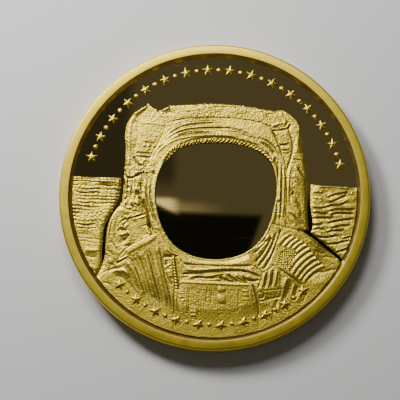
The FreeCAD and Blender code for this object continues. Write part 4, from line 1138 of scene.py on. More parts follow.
PATCH = np.array([(8.3, -8.9), (8.7, -7.2), (9.3, -6.4), (11.0, -7.2), (10.4, -8.5), (9.8, -9.8)])


def stipple(x, y, height):
    """Punched dots on the patch beside the neck."""
    return height + on_patch(x, y, PATCH, 0.25) * (0.12 * dimples(x, y, 0.25, 5) - 0.05)


relief("shoulder_right", shoulder_right_loop, 0.42, shoulder_right_strokes,
       [(0.007, 0.4, 101, 2.0, -40), (0.009, 0.17, 102)], shape=stipple)

# %% [markdown]
# Between that shoulder and the chest unit hang upright pleats, held by a strap with a square
# buckle. The strap is cut out of the side piece, so the two stand wall to wall.

# %% Side and strap
side_loop = outline("neck_right_lower", "panel_right", "side_right_foot", "shoulder_right_seam",
                    "folds_right_foot")
strap_loop = curve("strap_edge")[:-1]
beside_panel = groove([(5.25, -11.3), (5.65, -12.4), (5.98, -13.8), (6.25, -15.4)], 0.1, 0.05, 0.05, 0.05)
side_strokes = [
    ridge([(6.8, -9.7), (6.65, -10.8), (6.5, -11.9)], 0.08, 0.11),
    ridge([(7.5, -9.4), (7.4, -10.6), (7.3, -11.8)], 0.08, 0.11),
    ridge([(8.3, -9.3), (8.25, -10.4), (8.15, -11.6)], 0.09, 0.12),
    groove([(6.35, -10.3), (6.2, -11.2), (6, -11.9)], 0.09, 0.08),
    groove([(7.15, -9.6), (7.05, -10.8), (6.9, -11.9)], 0.09, 0.07),
    groove([(7.9, -9.2), (7.85, -10.4), (7.75, -11.7)], 0.09, 0.07),
    groove([(8.6, -9.3), (8.9, -10.4), (8.75, -11.5)], 0.045, 0.1, 0.12),
    ridge([(9.7, -10.2), (9.4, -11.2), (9.1, -12.5), (8.5, -15)], 0.07, 0.24, 0.24, 0.1),
    groove([(10.1, -10.8), (9.9, -12), (9.4, -13.4), (9.1, -14.6)], 0.035, 0.06, 0.08),
    ridge([(10.6, -10.9), (10.4, -12), (10, -13.4)], 0.08, 0.16),
    groove([(11.1, -11.2), (10.9, -12.2), (10.5, -13.4)], 0.07, 0.07, 0.1),
    ridge([(11.6, -11.6), (11.3, -12.6), (11, -13.6)], 0.06, 0.16),
    groove([(8.5, -13), (8.4, -13.8), (8, -15.2)], 0.1, 0.08, 0.12),
    ridge([(7.8, -13.4), (7.8, -14.4), (7.6, -15.8)], 0.05, 0.2),
    groove([(7.2, -13.8), (7.1, -14.8), (7, -16)], 0.04, 0.08),
    groove([(12.2, -12), (12, -12.8), (11.7, -13.6)], 0.05, 0.1),
    beside_panel,
    groove([(6.2, -13.6), (7.6, -13.2), (8.95, -12.9)], 0.03, 0.06, 0.08, 0.05),
]
relief("side_right", side_loop, 0.36, side_strokes, [(0.006, 0.35, 111, 2.0, 85), (0.009, 0.17, 112)],
       hole=strap_loop)

strap_strokes = [
    groove([(5.95, -12.5), (6.65, -12.4), (6.75, -12.95), (6.2, -13.1), (5.95, -12.55)], 0.05, 0.05),
]
relief("strap_right", strap_loop, 0.45, strap_strokes, [(0.006, 0.17, 115)], pitch=0.04)

# %% [markdown]
# The chest unit is a flat box seen from the front, with raised controls. The small buttons are a
# device of their own and come after the hose. What stays engraved in the box itself is fine straight
# ribbing, a ladder of short bars, and the lines that part its fields.

# %% Chest unit
panel_loop = outline("hose_right_foot", "panel_top", "panel_right", "panel_foot", "panel_left")


def bars(first, step, count, half, height, width):
    """Short upright or level bars in a row."""
    strokes = []
    for number in range(count):
        centre = np.array(first) + np.array(step) * number
        strokes.append(ridge([centre - half, centre + half], height, width, width, 0.08))
    return strokes


level_bar = np.array([0.45, 0.02])
panel_strokes = [
    groove([(-0.5, -11.7), (-0.48, -12.6), (-0.5, -14)], 0.02, 0.08),
    groove([(0.1, -11.7), (0.12, -12.6), (0.1, -14.4)], 0.02, 0.08),
    groove([(3.6, -11.8), (3.62, -13.4), (3.6, -15.2)], 0.02, 0.08),
    groove([(5.1, -11.8), (5.5, -13), (6, -15)], 0.03, 0.1),
    groove([(-2.75, -11.8), (-2.75, -13.6), (-2.75, -15.8)], 0.025, 0.08),
    groove([(-4.2, -12.5), (-4.15, -14), (-4, -16)], 0.03, 0.08),
    knob([(-3.5, -13.6), (-3.4, -13.8)], 0.04, 0.16),
]
panel_strokes += bars((-3.5, -12.5), (0.0, -0.24), 4, level_bar, 0.018, 0.06)
panel_strokes += bars((-3.5, -14.1), (0.0, -0.24), 6, level_bar, 0.018, 0.06)
panel_strokes += bars((-2.1, -14.6), (0.0, -0.26), 7, level_bar, 0.03, 0.06)
panel_strokes += bars((-0.9, -12.2), (0.3, 0.0), 5, np.array([0.07, 0.0]), 0.03, 0.06)
panel_strokes += bars((-3.3, -13.9), (0.31, 0.0), 27, np.array([0.0, 1.9]), -0.014, 0.06)
panel_strokes += [
    beside_panel,
    groove([(-4.75, -12.3), (-4.7, -13.6), (-4.6, -15.6)], 0.1, 0.06, 0.06, 0.05),
    ridge([(-3.9, -11.35), (0.4, -11.4), (5, -11.45)], 0.03, 0.1, 0.14, 0.02),
]
relief("chest_panel", panel_loop, 0.33, panel_strokes, [(0.005, 0.17, 122)])

# %% [markdown]
# ## Moon ground
# Two strips of ground run out from the figure to the rim. The left one is broken into short wavy
# ripples with lumps, smoother at the foot. The right one has longer ridges that rise to the right.

# %% Ground
ground_left_loop = outline("ground_left_top", "ground_left_side", "ground_left_foot")


def ripples(x, y, height):
    """Wavy ripples about 0.45 mm apart, broken by chance, with lumps between them."""
    wave = y / 0.47 + 0.6 * grain(x, y, 1.5, 201, 2.2) + 0.22 * grain(x, y, 0.45, 202, 1.6)
    valley = np.exp(-(np.sin(math.pi * wave) / 0.42) ** 2)
    broken = np.clip(0.45 + 0.95 * grain(x, y, 0.9, 203, 2.6), 0, 1)
    rough = ease((y + 7.4) / 3.2)
    lumps = 0.035 * dimples(x, y, 0.55, 204) + 0.03 * grain(x, y, 0.7, 206, 2.0)
    return height + rough * (lumps - 0.11 * valley * broken)


ground_left_strokes = [
    ridge([(-18.2, 1.6), (-16, 1.5), (-14, 1.5), (-12.2, 1.45)], 0.08, 0.2, 0.2, 0.03),
    ridge([(-16.4, -7.5), (-15.4, -7.6), (-14.5, -7.6)], 0.06, 0.2, 0.3),
    groove([(-16.4, -8.2), (-15.4, -8.5), (-14.6, -8.4)], 0.05, 0.2, 0.2),
    ridge([(-15.8, -9.6), (-15.2, -9.9), (-14.6, -10)], 0.04, 0.3, 0.3),
]
relief("ground_left", ground_left_loop, 0.22, ground_left_strokes,
       [(0.007, 0.19, 212, 1.4)], shape=ripples)

ground_right_loop = outline("ground_right_top", "ground_right_foot", "ground_right_side")
GROUND_RIDGES = [
    [(12.6, 1.75), (15.0, 1.7), (18.1, 1.6)],
    [(14.5, 0.4), (15.3, 0.85), (16.2, 1.05), (17.2, 1.15)],
    [(14.7, -0.1), (15.4, 0.1), (16.1, 0.45), (17.0, 0.85)],
    [(14.1, -0.9), (15.2, -0.5), (16.2, -0.4), (17.2, 0.1)],
    [(12.6, -0.85), (13.5, -0.95), (14.5, -0.75)],
    [(14.6, -1.4), (15.5, -1.05), (16.8, -0.95), (18.2, -1.05)],
    [(14.8, -1.85), (16.0, -1.5), (17.9, -1.6)],
    [(12.7, -1.6), (13.6, -1.55), (14.6, -1.65)],
    [(12.6, -2.4), (13.5, -2.2), (15.5, -2.2)],
    [(14.5, -3.1), (15.5, -2.6), (18.0, -2.2)],
    [(12.6, -3.2), (13.4, -3.05), (14.0, -3.1)],
    [(15.0, -3.65), (16.0, -3.2), (17.5, -3.1)],
    [(12.7, -3.9), (13.5, -3.6), (14.3, -3.8)],
    [(14.5, -4.2), (15.3, -3.85), (16.8, -3.8)],
    [(13.3, -4.5), (14.4, -4.7), (15.9, -4.4)],
    [(16.5, -4.9), (17.1, -4.7), (17.6, -4.55)],
    [(14.4, -5.5), (15.6, -5.5), (16.8, -5.15), (17.7, -4.95)],
    [(15.7, -6.6), (16.6, -6.35), (17.4, -5.95)],
]
crest_heights = np.random.RandomState(223).uniform(0.07, 0.13, len(GROUND_RIDGES))
ground_right_strokes = [
    ridge(line, height, 0.1, 0.16, 0.2) for line, height in zip(GROUND_RIDGES, crest_heights)
]
ground_right_strokes += [
    groove(np.array(line) - (0.0, 0.3), height * 0.6, 0.1, 0.08, 0.2)
    for line, height in zip(GROUND_RIDGES[1:], crest_heights[1:])
]
ground_right_strokes += [
    ridge([(12.7, 0.9), (13.4, 1), (14, 0.8)], 0.06, 0.16),
    ridge([(12.8, 0.1), (13.4, 0.2), (14, 0)], 0.05, 0.16),
    knob([(17.5, 0.9), (17.8, 0.9)], 0.07, 0.14),
]
relief("ground_right", ground_right_loop, 0.2, ground_right_strokes,
       [(0.02, 0.5, 221, 2.6, 12), (0.012, 0.19, 222, 1.4, 12)])

# %% [markdown]
# ## Hose and buttons
# The hose is a ribbed air hose that comes out from under the collar and goes into the chest unit.
# On the medal it is a half round strip with eleven slanted rings. The buttons are low blocks with
# bevelled edges that stand on the chest unit, and a cube is made and shaped for each.

# %% Hose
hose_loop = outline("hose_left", "hose_right_foot", "hose_right", "hose_top")
HOSE_START = np.array((-4.93, -8.4))
HOSE_END = np.array((-4.3, -12.1))
HOSE_RINGS = 11
HOSE_HALF_WIDTH = 0.26
RING_SLANT = 0.35
RING_HEIGHT = 0.12


def hose_roll(x, y, height):
    """A half round strip with slanted rings across it."""
    run = HOSE_END - HOSE_START
    length = np.linalg.norm(run)
    along = ((x - HOSE_START[0]) * run[0] + (y - HOSE_START[1]) * run[1]) / length
    across = ((x - HOSE_START[0]) * run[1] - (y - HOSE_START[1]) * run[0]) / length
    phase = (along + RING_SLANT * across) / length * (HOSE_RINGS - 1)
    rings = 0.5 + 0.5 * np.cos(2 * math.pi * phase)
    ends = ease((along + 0.3) / 0.3) * ease((length + 0.3 - along) / 0.3)
    side_fall = np.clip(across / HOSE_HALF_WIDTH, -1, 1) ** 2
    raised = ends * RING_HEIGHT * (rings ** 1.3) * (1 - side_fall)
    return height - 0.07 * side_fall + raised - 0.03


relief("hose", hose_loop, 0.4, shape=hose_roll, pitch=0.04)

# %% Chest buttons
# Centre, width and length of each block, and two smaller ones near the foot
BUTTONS = [
    ((1.35, -12.1), 0.9, 0.7),
    ((1.4, -13.35), 1.1, 1.1),
    ((4.4, -12.2), 0.9, 0.3),
    ((4.45, -12.75), 0.9, 0.3),
    ((4.5, -13.3), 0.9, 0.3),
    ((-2.1, -15.09), 0.75, 0.28),
    ((-2.1, -15.59), 0.75, 0.28),
]
BUTTON_FOOT = 0.25
BUTTON_TOP = 0.41


def block(name, centre, width, length, foot, top):
    """A low bevelled block with its foot and top at the given heights above the field."""
    bpy.ops.mesh.primitive_cube_add(size=1)
    piece = named(name)
    piece.scale = (width * MM, length * MM, (top - foot) * MM)
    piece.location = (centre[0] * MM, centre[1] * MM, (FIELD + (top + foot) / 2) * MM)
    bpy.ops.object.transform_apply(location=True, rotation=True, scale=True)
    edit(piece, "FACE")
    bpy.ops.mesh.bevel(offset=0.05 * MM, segments=3, affect="EDGES")
    leave_edit()
    return piece


def joined(pieces, name):
    """One object from several."""
    bpy.ops.object.select_all(action="DESELECT")
    for piece in pieces:
        piece.select_set(True)
    bpy.context.view_layer.objects.active = pieces[0]
    bpy.ops.object.join()
    return named(name)


blocks = [block("button", *button, BUTTON_FOOT, BUTTON_TOP) for button in BUTTONS]
buttons = joined(blocks, "button_blocks")
hand_in(buttons, "chest_buttons", "frosted_gold", 40)

# %% [markdown]
# ## Visor
# The visor is a plate of its own height above the field, polished like the field. A filled circle
# with as many corners as the outline has points is moved onto the outline and extruded. Its edge
# stays sharp, since the lips of the devices round it stand over it.

# %% Visor
VISOR_HEIGHT = 0.1
bpy.ops.mesh.primitive_circle_add(vertices=len(visor_line), radius=1, fill_type="NGON")
visor = named("visor_plate")
put_places(visor.data, np.insert(visor_line, 2, FIELD, axis=1) * MM)
edit(visor, "FACE")
bpy.ops.mesh.extrude_region_move(TRANSFORM_OT_translate={"value": (0, 0, VISOR_HEIGHT * MM)})
leave_edit()
hand_in(visor, "visor", "mirror_gold", 30)

# %% [markdown]
# ## Blank and rims
# The blank is the disc between the two fields. The rims are turned rings: a closed section is drawn
# once and spun about the medal's axis, with a small round where the wall meets the flat top and a
# larger one at the outer corner, as years of handling leave it. The reverse rim is the same section
# turned over.

# %% Blank
TURNS = 720
bpy.ops.mesh.primitive_cylinder_add(vertices=TURNS, radius=MEDAL_RADIUS * MM,
                                    depth=(FIELD - REVERSE_FIELD) * MM,
                                    location=(0, 0, (FIELD + REVERSE_FIELD) / 2 * MM))
blank = named("blank_disc")
hand_in(blank, "blank", "mirror_gold", 30)

# %% Rims
THICKNESS = 3.0
RIM_FOOT = 18.4
RIM_BROW = 18.75
BROW_ROUND = 0.12
FLAT_RADIUS = 19.2
CORNER = 0.25


def corner_arc(centre, radius, start, end, count):
    """Points on an arc of a turned section, angles in degrees from outwards to upwards."""
    angles = np.radians(np.linspace(start, end, count))
    return [(centre[0] + radius * math.cos(a), centre[1] + radius * math.sin(a)) for a in angles]


rim_section = [(MEDAL_RADIUS, FIELD)]
rim_section += corner_arc((MEDAL_RADIUS - CORNER, THICKNESS - CORNER), CORNER, 0, 90, 9)
rim_section += [(FLAT_RADIUS, THICKNESS)]
rim_section += corner_arc((RIM_BROW + BROW_ROUND, THICKNESS - BROW_ROUND), BROW_ROUND, 90, 150, 6)
rim_section += [(RIM_FOOT, FIELD)]


def turned_ring(name, section):
    """A closed section spun about the medal's axis."""
    bpy.ops.mesh.primitive_circle_add(vertices=len(section), radius=1, fill_type="NOTHING")
    piece = named(name)
    put_places(piece.data, np.insert(section, 1, 0, axis=1) * MM)
    edit(piece, "EDGE")
    bpy.ops.mesh.spin(steps=TURNS, angle=2 * math.pi, center=(0, 0, 0), axis=(0, 0, 1))
    bpy.ops.mesh.select_all(action="SELECT")
    bpy.ops.mesh.remove_doubles(threshold=0.0005 * MM)
    leave_edit()
    return piece


def turn_over(piece):
    """Turns a piece about the X axis through the middle of the medal's thickness."""
    edit(piece, "VERT")
    bpy.ops.transform.rotate(value=math.pi, orient_axis="X", orient_type="GLOBAL",
                             center_override=(0, 0, THICKNESS / 2 * MM))
    leave_edit()


rims = []
for node in ("rim_obverse", "rim_reverse"):
    rim = turned_ring(node + "_ring", rim_section)
    if node == "rim_reverse":
        turn_over(rim)
    hand_in(rim, node, "rim_gold", 50)
    rims.append(rim)

# %% [markdown]
# ## Stars and beads
# Each star is a plate with walls that lean inwards and a small roof over its points, and each bead
# a low dome. One of each is made at angle 0 and copied for each place of its row, turned about the
# medal's axis. The lower row stands on the flat band of the relief, and its feet lie inside the band.

# %% Ornament
ORNAMENT_CIRCLE = 16.7
STAR_REACHES = [0.82, 0.36] * 5
STAR_TOP_SHARE = 0.88
STAR_PEAK = 0.1
BEAD_RADIUS = 0.34
# The foot's cut lies this much over the ball's widest ring, and so never on its vertices
BEAD_SINK = 0.003


def round_the_clock(count):
    """Points spread evenly on a circle of radius 1."""
    angles = 2 * math.pi * np.arange(count) / count
    return np.column_stack([np.cos(angles), np.sin(angles)])


def first_star(foot, top):
    """The star at angle 0 of the ornament's circle."""
    bpy.ops.mesh.primitive_circle_add(vertices=len(STAR_REACHES), radius=1, fill_type="NGON")
    piece = named("star")
    corners = np.array(STAR_REACHES)[:, None] * round_the_clock(len(STAR_REACHES))
    corners[:, 0] += ORNAMENT_CIRCLE
    put_places(piece.data, np.insert(corners, 2, FIELD + foot, axis=1) * MM)
    centre = (ORNAMENT_CIRCLE * MM, 0, (FIELD + top) * MM)
    edit(piece, "FACE")
    bpy.ops.mesh.extrude_region_move(TRANSFORM_OT_translate={"value": (0, 0, (top - foot) * MM)})
    bpy.ops.transform.resize(value=(STAR_TOP_SHARE, STAR_TOP_SHARE, 1), center_override=centre)
    bpy.ops.mesh.poke(offset=STAR_PEAK * MM)
    bpy.ops.mesh.select_all(action="SELECT")
    bpy.ops.mesh.bevel(offset=0.012 * MM, segments=2, affect="EDGES")
    leave_edit()
    return piece


def first_bead(foot, top, circle):
    """A low dome at angle 0 of a circle: the upper part of a flattened ball."""
    bpy.ops.mesh.primitive_uv_sphere_add(segments=40, ring_count=20, radius=BEAD_RADIUS * MM)
    piece = named("bead")
    piece.scale = (1, 1, (top - foot) / BEAD_RADIUS)
    piece.location = (circle * MM, 0, (FIELD + foot - BEAD_SINK) * MM)
    bpy.ops.object.transform_apply(location=True, rotation=True, scale=True)
    edit(piece, "FACE")
    bpy.ops.mesh.bisect(plane_co=(0, 0, (FIELD + foot) * MM), plane_no=(0, 0, 1), clear_inner=True,
                        use_fill=True, threshold=0.0001 * MM)
    leave_edit()
    return piece


def row(node, first, start, step, count):
    """Copies of the first piece about the medal's axis, as one object that stands for its node."""
    copies = []
    for number in range(count):
        copy = first.copy()
        copy.data = first.data.copy()
        copy.rotation_euler = (0, 0, math.radians(start + step * number))
        bpy.context.collection.objects.link(copy)
        copies.append(copy)
    bpy.data.objects.remove(first)
    piece = joined(copies, node + "_row")
    hand_in(piece, node, "frosted_gold", 30)
    return piece


# Which row, its middle and its arc in degrees, its steps, and the foot and top of its pieces
ROWS = [("upper", 90, 148.0, 15, 0, 0.2), ("lower", 270, 89.0, 9, 0.1, 0.42)]
for which, middle, arc, steps, foot, top in ROWS:
    step = arc / steps
    start = middle - arc / 2
    row("stars_" + which, first_star(foot, top), start, step, steps + 1)
    row("beads_" + which, first_bead(foot, top, ORNAMENT_CIRCLE), start + step / 2, step, steps)

# %% [markdown]
# ## Reverse
# The reverse isn't seen, so it has what such medals have: a frosted moon with a few shallow craters
# and a border of beads on the mirror field. It is carved face up with the same tools and turned over.

# %% Moon and border
MOON_RADIUS = 10.5
MOON_HEIGHT = 0.4
CRATERS = [((-3.2, 3.4), 2.0), ((2.9, 2.2), 1.35), ((-0.6, -3.0), 2.4)]
BORDER_CIRCLE = 16.9
BORDER_BEADS = 42
small_craters = np.random.RandomState(7).uniform(-1, 1, (40, 3))


def crater(x, y, centre, reach, depth, slope, lip, lip_width):
    """A bowl with a raised lip at the given reach from its centre."""
    away = np.hypot(x - centre[0], y - centre[1])
    return lip * np.exp(-((away - reach) / lip_width) ** 2) - depth * ease((reach - away) / slope)


def moon_top(x, y, height):
    """A flat face with craters, large ones in their places and small ones by chance."""
    height = MOON_HEIGHT - 0.02 + 0.01 * grain(x, y, 1.2, 301)
    for centre, reach in CRATERS:
        height += crater(x, y, centre, reach, 0.14, 0.6, 0.03, 0.2)
    for u, v, w in small_craters:
        height += crater(x, y, (9 * u, 9 * v), 0.25 + 0.2 * (w + 1), 0.06, 0.3, 0.02, 0.12)
    return height * ease((MOON_RADIUS + 0.02 - np.hypot(x, y)) / 0.5)


moon_loop = MOON_RADIUS * round_the_clock(240)
reverse_moon = relief("reverse_moon", moon_loop, 0.4, shape=moon_top, lip=0.0, pitch=0.12)
turn_over(reverse_moon)
border_beads = row("border_beads", first_bead(0, 0.2, BORDER_CIRCLE), 0, 360 / BORDER_BEADS,
                   BORDER_BEADS)
turn_over(border_beads)
for piece in (reverse_moon, border_beads):
    settle(piece, 40)

# %% [markdown]
# ## Materials
# All three finishes are the same gold plating. What differs is the die's surface: polished for the fields
# and the visor, blasted for the relief, and lathe turned and a little worn for the rims. Two node groups
# are shared: a fine grain for bump, roughness and the painted specks and glints, and thin hairlines. The
# frosted gold has shade and highlights painted into its colour, and the rims' inner walls a painted shade.

# %% Node helpers
def new_node(tree, kind, **values):
    """A shader node with constant values on its own sockets and properties."""
    made = tree.nodes.new(kind)
    for name, value in values.items():
        if name in made.inputs:
            made.inputs[name].default_value = value
        else:
            setattr(made, name, value)
    return made


def plug(tree, source, output, target, entry):
    tree.links.new(source.outputs[output], target.inputs[entry])


def new_group(name, outputs):
    """An empty shader node group with float outputs."""
    group = bpy.data.node_groups.new(name, "ShaderNodeTree")
    for output in outputs:
        group.interface.new_socket(output, in_out="OUTPUT", socket_type="NodeSocketFloat")
    return group, group.nodes.new("NodeGroupOutput")


def new_material(name):
    """A material and the shader that says how its surface takes light."""
    material = bpy.data.materials.new(name)
    material.use_nodes = True
    return material, material.node_tree.nodes["Principled BSDF"]


def ranged(tree, source, output, low, high, start=0.0, end=1.0, **values):
    """A value brought from the range low to high to the range start to end."""
    made = new_node(tree, "ShaderNodeMapRange", **values)
    for name, value in (("From Min", low), ("From Max", high), ("To Min", start), ("To Max", end)):
        made.inputs[name].default_value = value
    plug(tree, source, output, made, "Value")
    return made


def blended(tree, mask, below, above):
    """One colour laid over another; each is a colour or a mix node."""
    made = new_node(tree, "ShaderNodeMix", data_type="RGBA")
    tree.links.new(mask.outputs[0], made.inputs[0])
    for entry, colour in ((6, below), (7, above)):
        if isinstance(colour, tuple):
            made.inputs[entry].default_value = (*colour, 1)
        else:
            tree.links.new(colour.outputs[2], made.inputs[entry])
    return made


# %% Shared groups
def make_grain_group():
    """Blasted grain: a fine height and a coarser patchiness, both about half."""
    group, out = new_group("blasted_grain", ["Height", "Patches"])
    place = new_node(group, "ShaderNodeTexCoord")
    fine = new_node(group, "ShaderNodeTexNoise", Scale=4600.0, Detail=2.0, Roughness=0.7)
    coarse = new_node(group, "ShaderNodeTexNoise", Scale=900.0, Detail=4.0, Roughness=0.6)
    for texture in (fine, coarse):
        plug(group, place, "Object", texture, "Vector")
    plug(group, fine, "Fac", out, "Height")
    plug(group, coarse, "Fac", out, "Patches")
    return group


def make_hairline_group():
    """Thin scratches in two directions: noise drawn out a hundredfold and cut high."""
    group, out = new_group("hairlines", ["Lines"])
    place = new_node(group, "ShaderNodeTexCoord")
    masks = []
    for turn, offset in ((0.6, 0.0), (-1.1, 3.0)):
        mapping = new_node(group, "ShaderNodeMapping", Rotation=(0, 0, turn),
                           Location=(offset, offset, 0), Scale=(60.0, 9000.0, 1.0))
        texture = new_node(group, "ShaderNodeTexNoise", Scale=1.0, Detail=1.0)
        plug(group, place, "Object", mapping, "Vector")
        plug(group, mapping, "Vector", texture, "Vector")
        masks.append(ranged(group, texture, "Fac", 0.7, 0.8))
    larger = new_node(group, "ShaderNodeMath", operation="MAXIMUM")
    group.links.new(masks[0].outputs["Result"], larger.inputs[0])
    group.links.new(masks[1].outputs["Result"], larger.inputs[1])
    plug(group, larger, "Value", out, "Lines")
    return group


grain_group = make_grain_group()
hairline_group = make_hairline_group()


# %% Finishes
MIRROR_GOLD = (0.83, 0.62, 0.22)
RIM_GOLD = (0.79, 0.595, 0.055)
# Painted shade: the darker gold of the rims' inner walls stands in for the dark field they reflect
WALL_GOLD_PAINTED_SHADE = (0.4, 0.31, 0.12)
FROST_GOLD = (0.85, 0.615, 0.06)
# Painted shade: darkens the frosted gold where the relief lies below its surroundings
FROST_PAINTED_SHADE = (0.17, 0.13, 0.035)
# Painted highlight: lightens the frosted gold where the relief stands over its surroundings
FROST_PAINTED_HIGHLIGHT = (0.96, 0.78, 0.13)
# Painted shade and painted glints on the fine grain: darker in its pits, lighter on its peaks, and how
# strongly both are laid on
FROST_SPECK_PAINTED_SHADE = (0.45, 0.31, 0.02)
FROST_PAINTED_GLINT = (1.0, 0.85, 0.2)
PAINTED_SPARKLE_STRENGTH = 0.4


def metal(name, gold, group, output, smoothest, roughest, bump=None):
    """Gold whose roughness follows one output of a shared group, with a strength and depth of bump."""
    material, skin = new_material(name)
    tree = material.node_tree
    skin.inputs["Base Color"].default_value = (*gold, 1)
    skin.inputs["Metallic"].default_value = 1.0
    grains = new_node(tree, "ShaderNodeGroup", node_tree=group)
    plug(tree, ranged(tree, grains, output, 0, 1, smoothest, roughest), "Result", skin, "Roughness")
    if bump is not None:
        bumps = new_node(tree, "ShaderNodeBump", Strength=bump[0], Distance=bump[1])
        plug(tree, grains, "Height", bumps, "Height")
        plug(tree, bumps, "Normal", skin, "Normal")
    return material


def frost(material):
    """Paints shade into the hollows and highlights onto the crests, and shade into the pits and glints onto
    the peaks of the fine grain, all in the blasted gold's colour.
    """
    tree = material.node_tree
    form = new_node(tree, "ShaderNodeAttribute", attribute_name="form")
    grains = new_node(tree, "ShaderNodeGroup", node_tree=grain_group)
    masks = [
        # Painted shade in the relief's hollows, painted highlights on its crests, painted shade in the
        # grain's pits and painted glints on its peaks
        (ranged(tree, form, "Fac", -1, 0, 1, 0), FROST_PAINTED_SHADE),
        (ranged(tree, form, "Fac", 0, 1), FROST_PAINTED_HIGHLIGHT),
        (ranged(tree, grains, "Height", 0.5, 0.34, 0, PAINTED_SPARKLE_STRENGTH), FROST_SPECK_PAINTED_SHADE),
        (ranged(tree, grains, "Height", 0.53, 0.68, 0, PAINTED_SPARKLE_STRENGTH), FROST_PAINTED_GLINT),
    ]
    colour = FROST_GOLD
    for mask, shade in masks:
        colour = blended(tree, mask, colour, shade)
    tree.links.new(colour.outputs[2], tree.nodes["Principled BSDF"].inputs["Base Color"])


finishes = {
    "mirror_gold": metal("mirror_gold", MIRROR_GOLD, hairline_group, "Lines", 0.015, 0.12),
    "rim_gold": metal("rim_gold", RIM_GOLD, grain_group, "Patches", 0.3, 0.5, (0.5, 0.00001)),
    "frosted_gold": metal("frosted_gold", FROST_GOLD, grain_group, "Patches", 0.31, 0.4, (1.0, 0.00006)),
}
frost(finishes["frosted_gold"])
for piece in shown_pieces():
    if piece.type == "MESH" and "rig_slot" in piece:
        piece.data.materials.clear()
        piece.data.materials.append(finishes[piece["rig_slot"]])

# The blank's edge wall is satin like the rims. The rims' inner walls have a darker base colour: painted
# shade, standing in for the dark field that is all they see at their foot
rim_wall_painted_shade = metal("rim_wall_painted_shade", WALL_GOLD_PAINTED_SHADE, grain_group, "Patches", 0.35, 0.5)
blank.data.materials.append(finishes["rim_gold"])
for face in blank.data.polygons:
    face.material_index = 1 if abs(face.normal.z) < 0.5 else 0
for rim in rims:
    rim.data.materials.append(rim_wall_painted_shade)
    for face in rim.data.polygons:
        leans_in = face.normal.x * face.center.x + face.normal.y * face.center.y < -0.3 * RIM_BROW * MM
        face.material_index = 1 if leans_in else 0

# %% [markdown]
# ## Light and floor
# A mirror field looks dark when it faces a dark part of the room. So the world is a dim room, and
# the patch of ceiling that the fields and the visor reflect to the camera has tones of its own: mid
# grey for the field's brown, a low dark screen that the visor shows, and a bright gap over it. Two
# soft lights stand near the medal, a strong one at its upper left and a weaker and higher one at
# its top. They are small, so that the folds glint as struck metal does, and near, so that the light
# falls off to the lower right.

# %% World
ROOM = (0.05, 0.05, 0.05)
OVERHEAD = (0.085, 0.085, 0.085)
DIMMER = (0.034, 0.035, 0.037)
BEHIND = (0.005, 0.006, 0.006)
BAND = (1.1, 1.1, 1.1)
GLOW = (0.27, 0.27, 0.27)
CEILING_WAY = (-0.033, 0.188, 0.982)
CEILING = ("towards", math.cos(math.radians(11.0)), math.cos(math.radians(6.5)))

# Each tone lies where all its steps are on. A step is off at its first value and on at its second,
# along X or Y of the direction, or along one of two slanted measures made from them
ON_CEILING = [
    (DIMMER, ("X", -0.066, -0.074)),
    (DIMMER, ("X", -0.0435, -0.0502), ("Y", 0.19, 0.2), ("Y", 0.217, 0.209)),
    (BEHIND, ("X", 0.008, 0.016), ("Y", 0.194, 0.186)),
]
IN_THE_ROOM = [
    (GLOW, ("Y", 0.1804, 0.1825), ("Y", 0.1888, 0.183), ("X", -0.066, -0.06), ("X", -0.016, -0.047)),
    (BEHIND, CEILING, ("Y", 0.1832, 0.1796), ("slant", -0.0598, -0.0628)),
    (BEHIND, CEILING, ("tilt", 0.1615, 0.1592), ("X", -0.044, -0.0475), ("X", -0.066, -0.062)),
    (BAND, ("tilt", 0.1592, 0.162), ("Y", 0.1894, 0.1862), ("X", -0.066, -0.062), ("X", -0.0425, -0.051)),
]


def where(tree, measures, steps):
    """One mask from several steps: the product of their own masks."""
    total = None
    for name, off_at, on_at in steps:
        mask = ranged(tree, *measures[name], off_at, on_at, interpolation_type="SMOOTHSTEP")
        if total is not None:
            both = new_node(tree, "ShaderNodeMath", operation="MULTIPLY")
            tree.links.new(total.outputs[0], both.inputs[0])
            tree.links.new(mask.outputs[0], both.inputs[1])
            mask = both
        total = mask
    return total


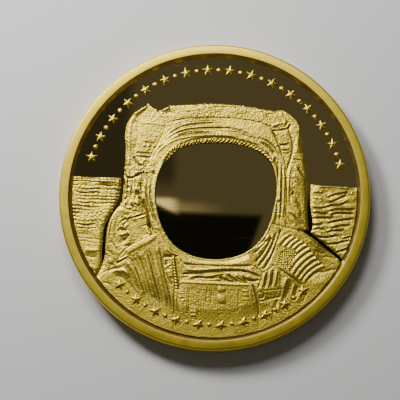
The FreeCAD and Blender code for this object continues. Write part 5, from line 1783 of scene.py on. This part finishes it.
def laid_on(tree, measures, colour, tones):
    """Each tone in turn laid over the colour, within all its steps."""
    for tone, *steps in tones:
        colour = blended(tree, where(tree, measures, steps), colour, tone)
    return colour


def make_world():
    """A dim room with a lighter ceiling, a low dark screen and a bright gap over it."""
    world = bpy.data.worlds.new("studio")
    bpy.context.scene.world = world
    world.use_nodes = True
    tree = world.node_tree
    place = new_node(tree, "ShaderNodeTexCoord")
    parts = new_node(tree, "ShaderNodeSeparateXYZ")
    plug(tree, place, "Generated", parts, "Vector")
    towards = new_node(tree, "ShaderNodeVectorMath", operation="DOT_PRODUCT")
    towards.inputs[1].default_value = CEILING_WAY
    plug(tree, place, "Generated", towards, 0)
    measures = {"X": (parts, "X"), "Y": (parts, "Y"), "towards": (towards, "Value")}
    for name, share, shared, base in (("slant", -1 / 3, "Y", "X"), ("tilt", 0.45, "X", "Y")):
        measure = new_node(tree, "ShaderNodeMath", operation="MULTIPLY_ADD")
        plug(tree, parts, shared, measure, 0)
        measure.inputs[1].default_value = share
        plug(tree, parts, base, measure, 2)
        measures[name] = (measure, "Value")
    colour = laid_on(tree, measures, OVERHEAD, ON_CEILING)
    colour = blended(tree, where(tree, measures, [CEILING]), ROOM, colour)
    colour = laid_on(tree, measures, colour, IN_THE_ROOM)
    tree.links.new(colour.outputs[2], tree.nodes["Background"].inputs["Color"])


make_world()

# %% Lights and floor
def soft_light(name, place, size, watts):
    """A square soft light that faces the medal; its place is in metres."""
    bpy.ops.object.light_add(type="AREA", location=place)
    light = named(name)
    light.data.size = size
    light.data.energy = watts
    light.rotation_euler = Vector(place).to_track_quat("Z", "Y").to_euler()


soft_light("overhead", (-0.02, 0.08, 0.115), 0.05, 0.08)
soft_light("key", (-0.09, 0.095, 0.105), 0.04, 0.22)

bpy.ops.mesh.primitive_plane_add(size=2.0)
floor = named("floor")
floor_material, floor_skin = new_material("pale_floor")
floor_skin.inputs["Base Color"].default_value = (0.9, 0.89, 0.87, 1)
floor_skin.inputs["Roughness"].default_value = 0.7
floor.data.materials.append(floor_material)
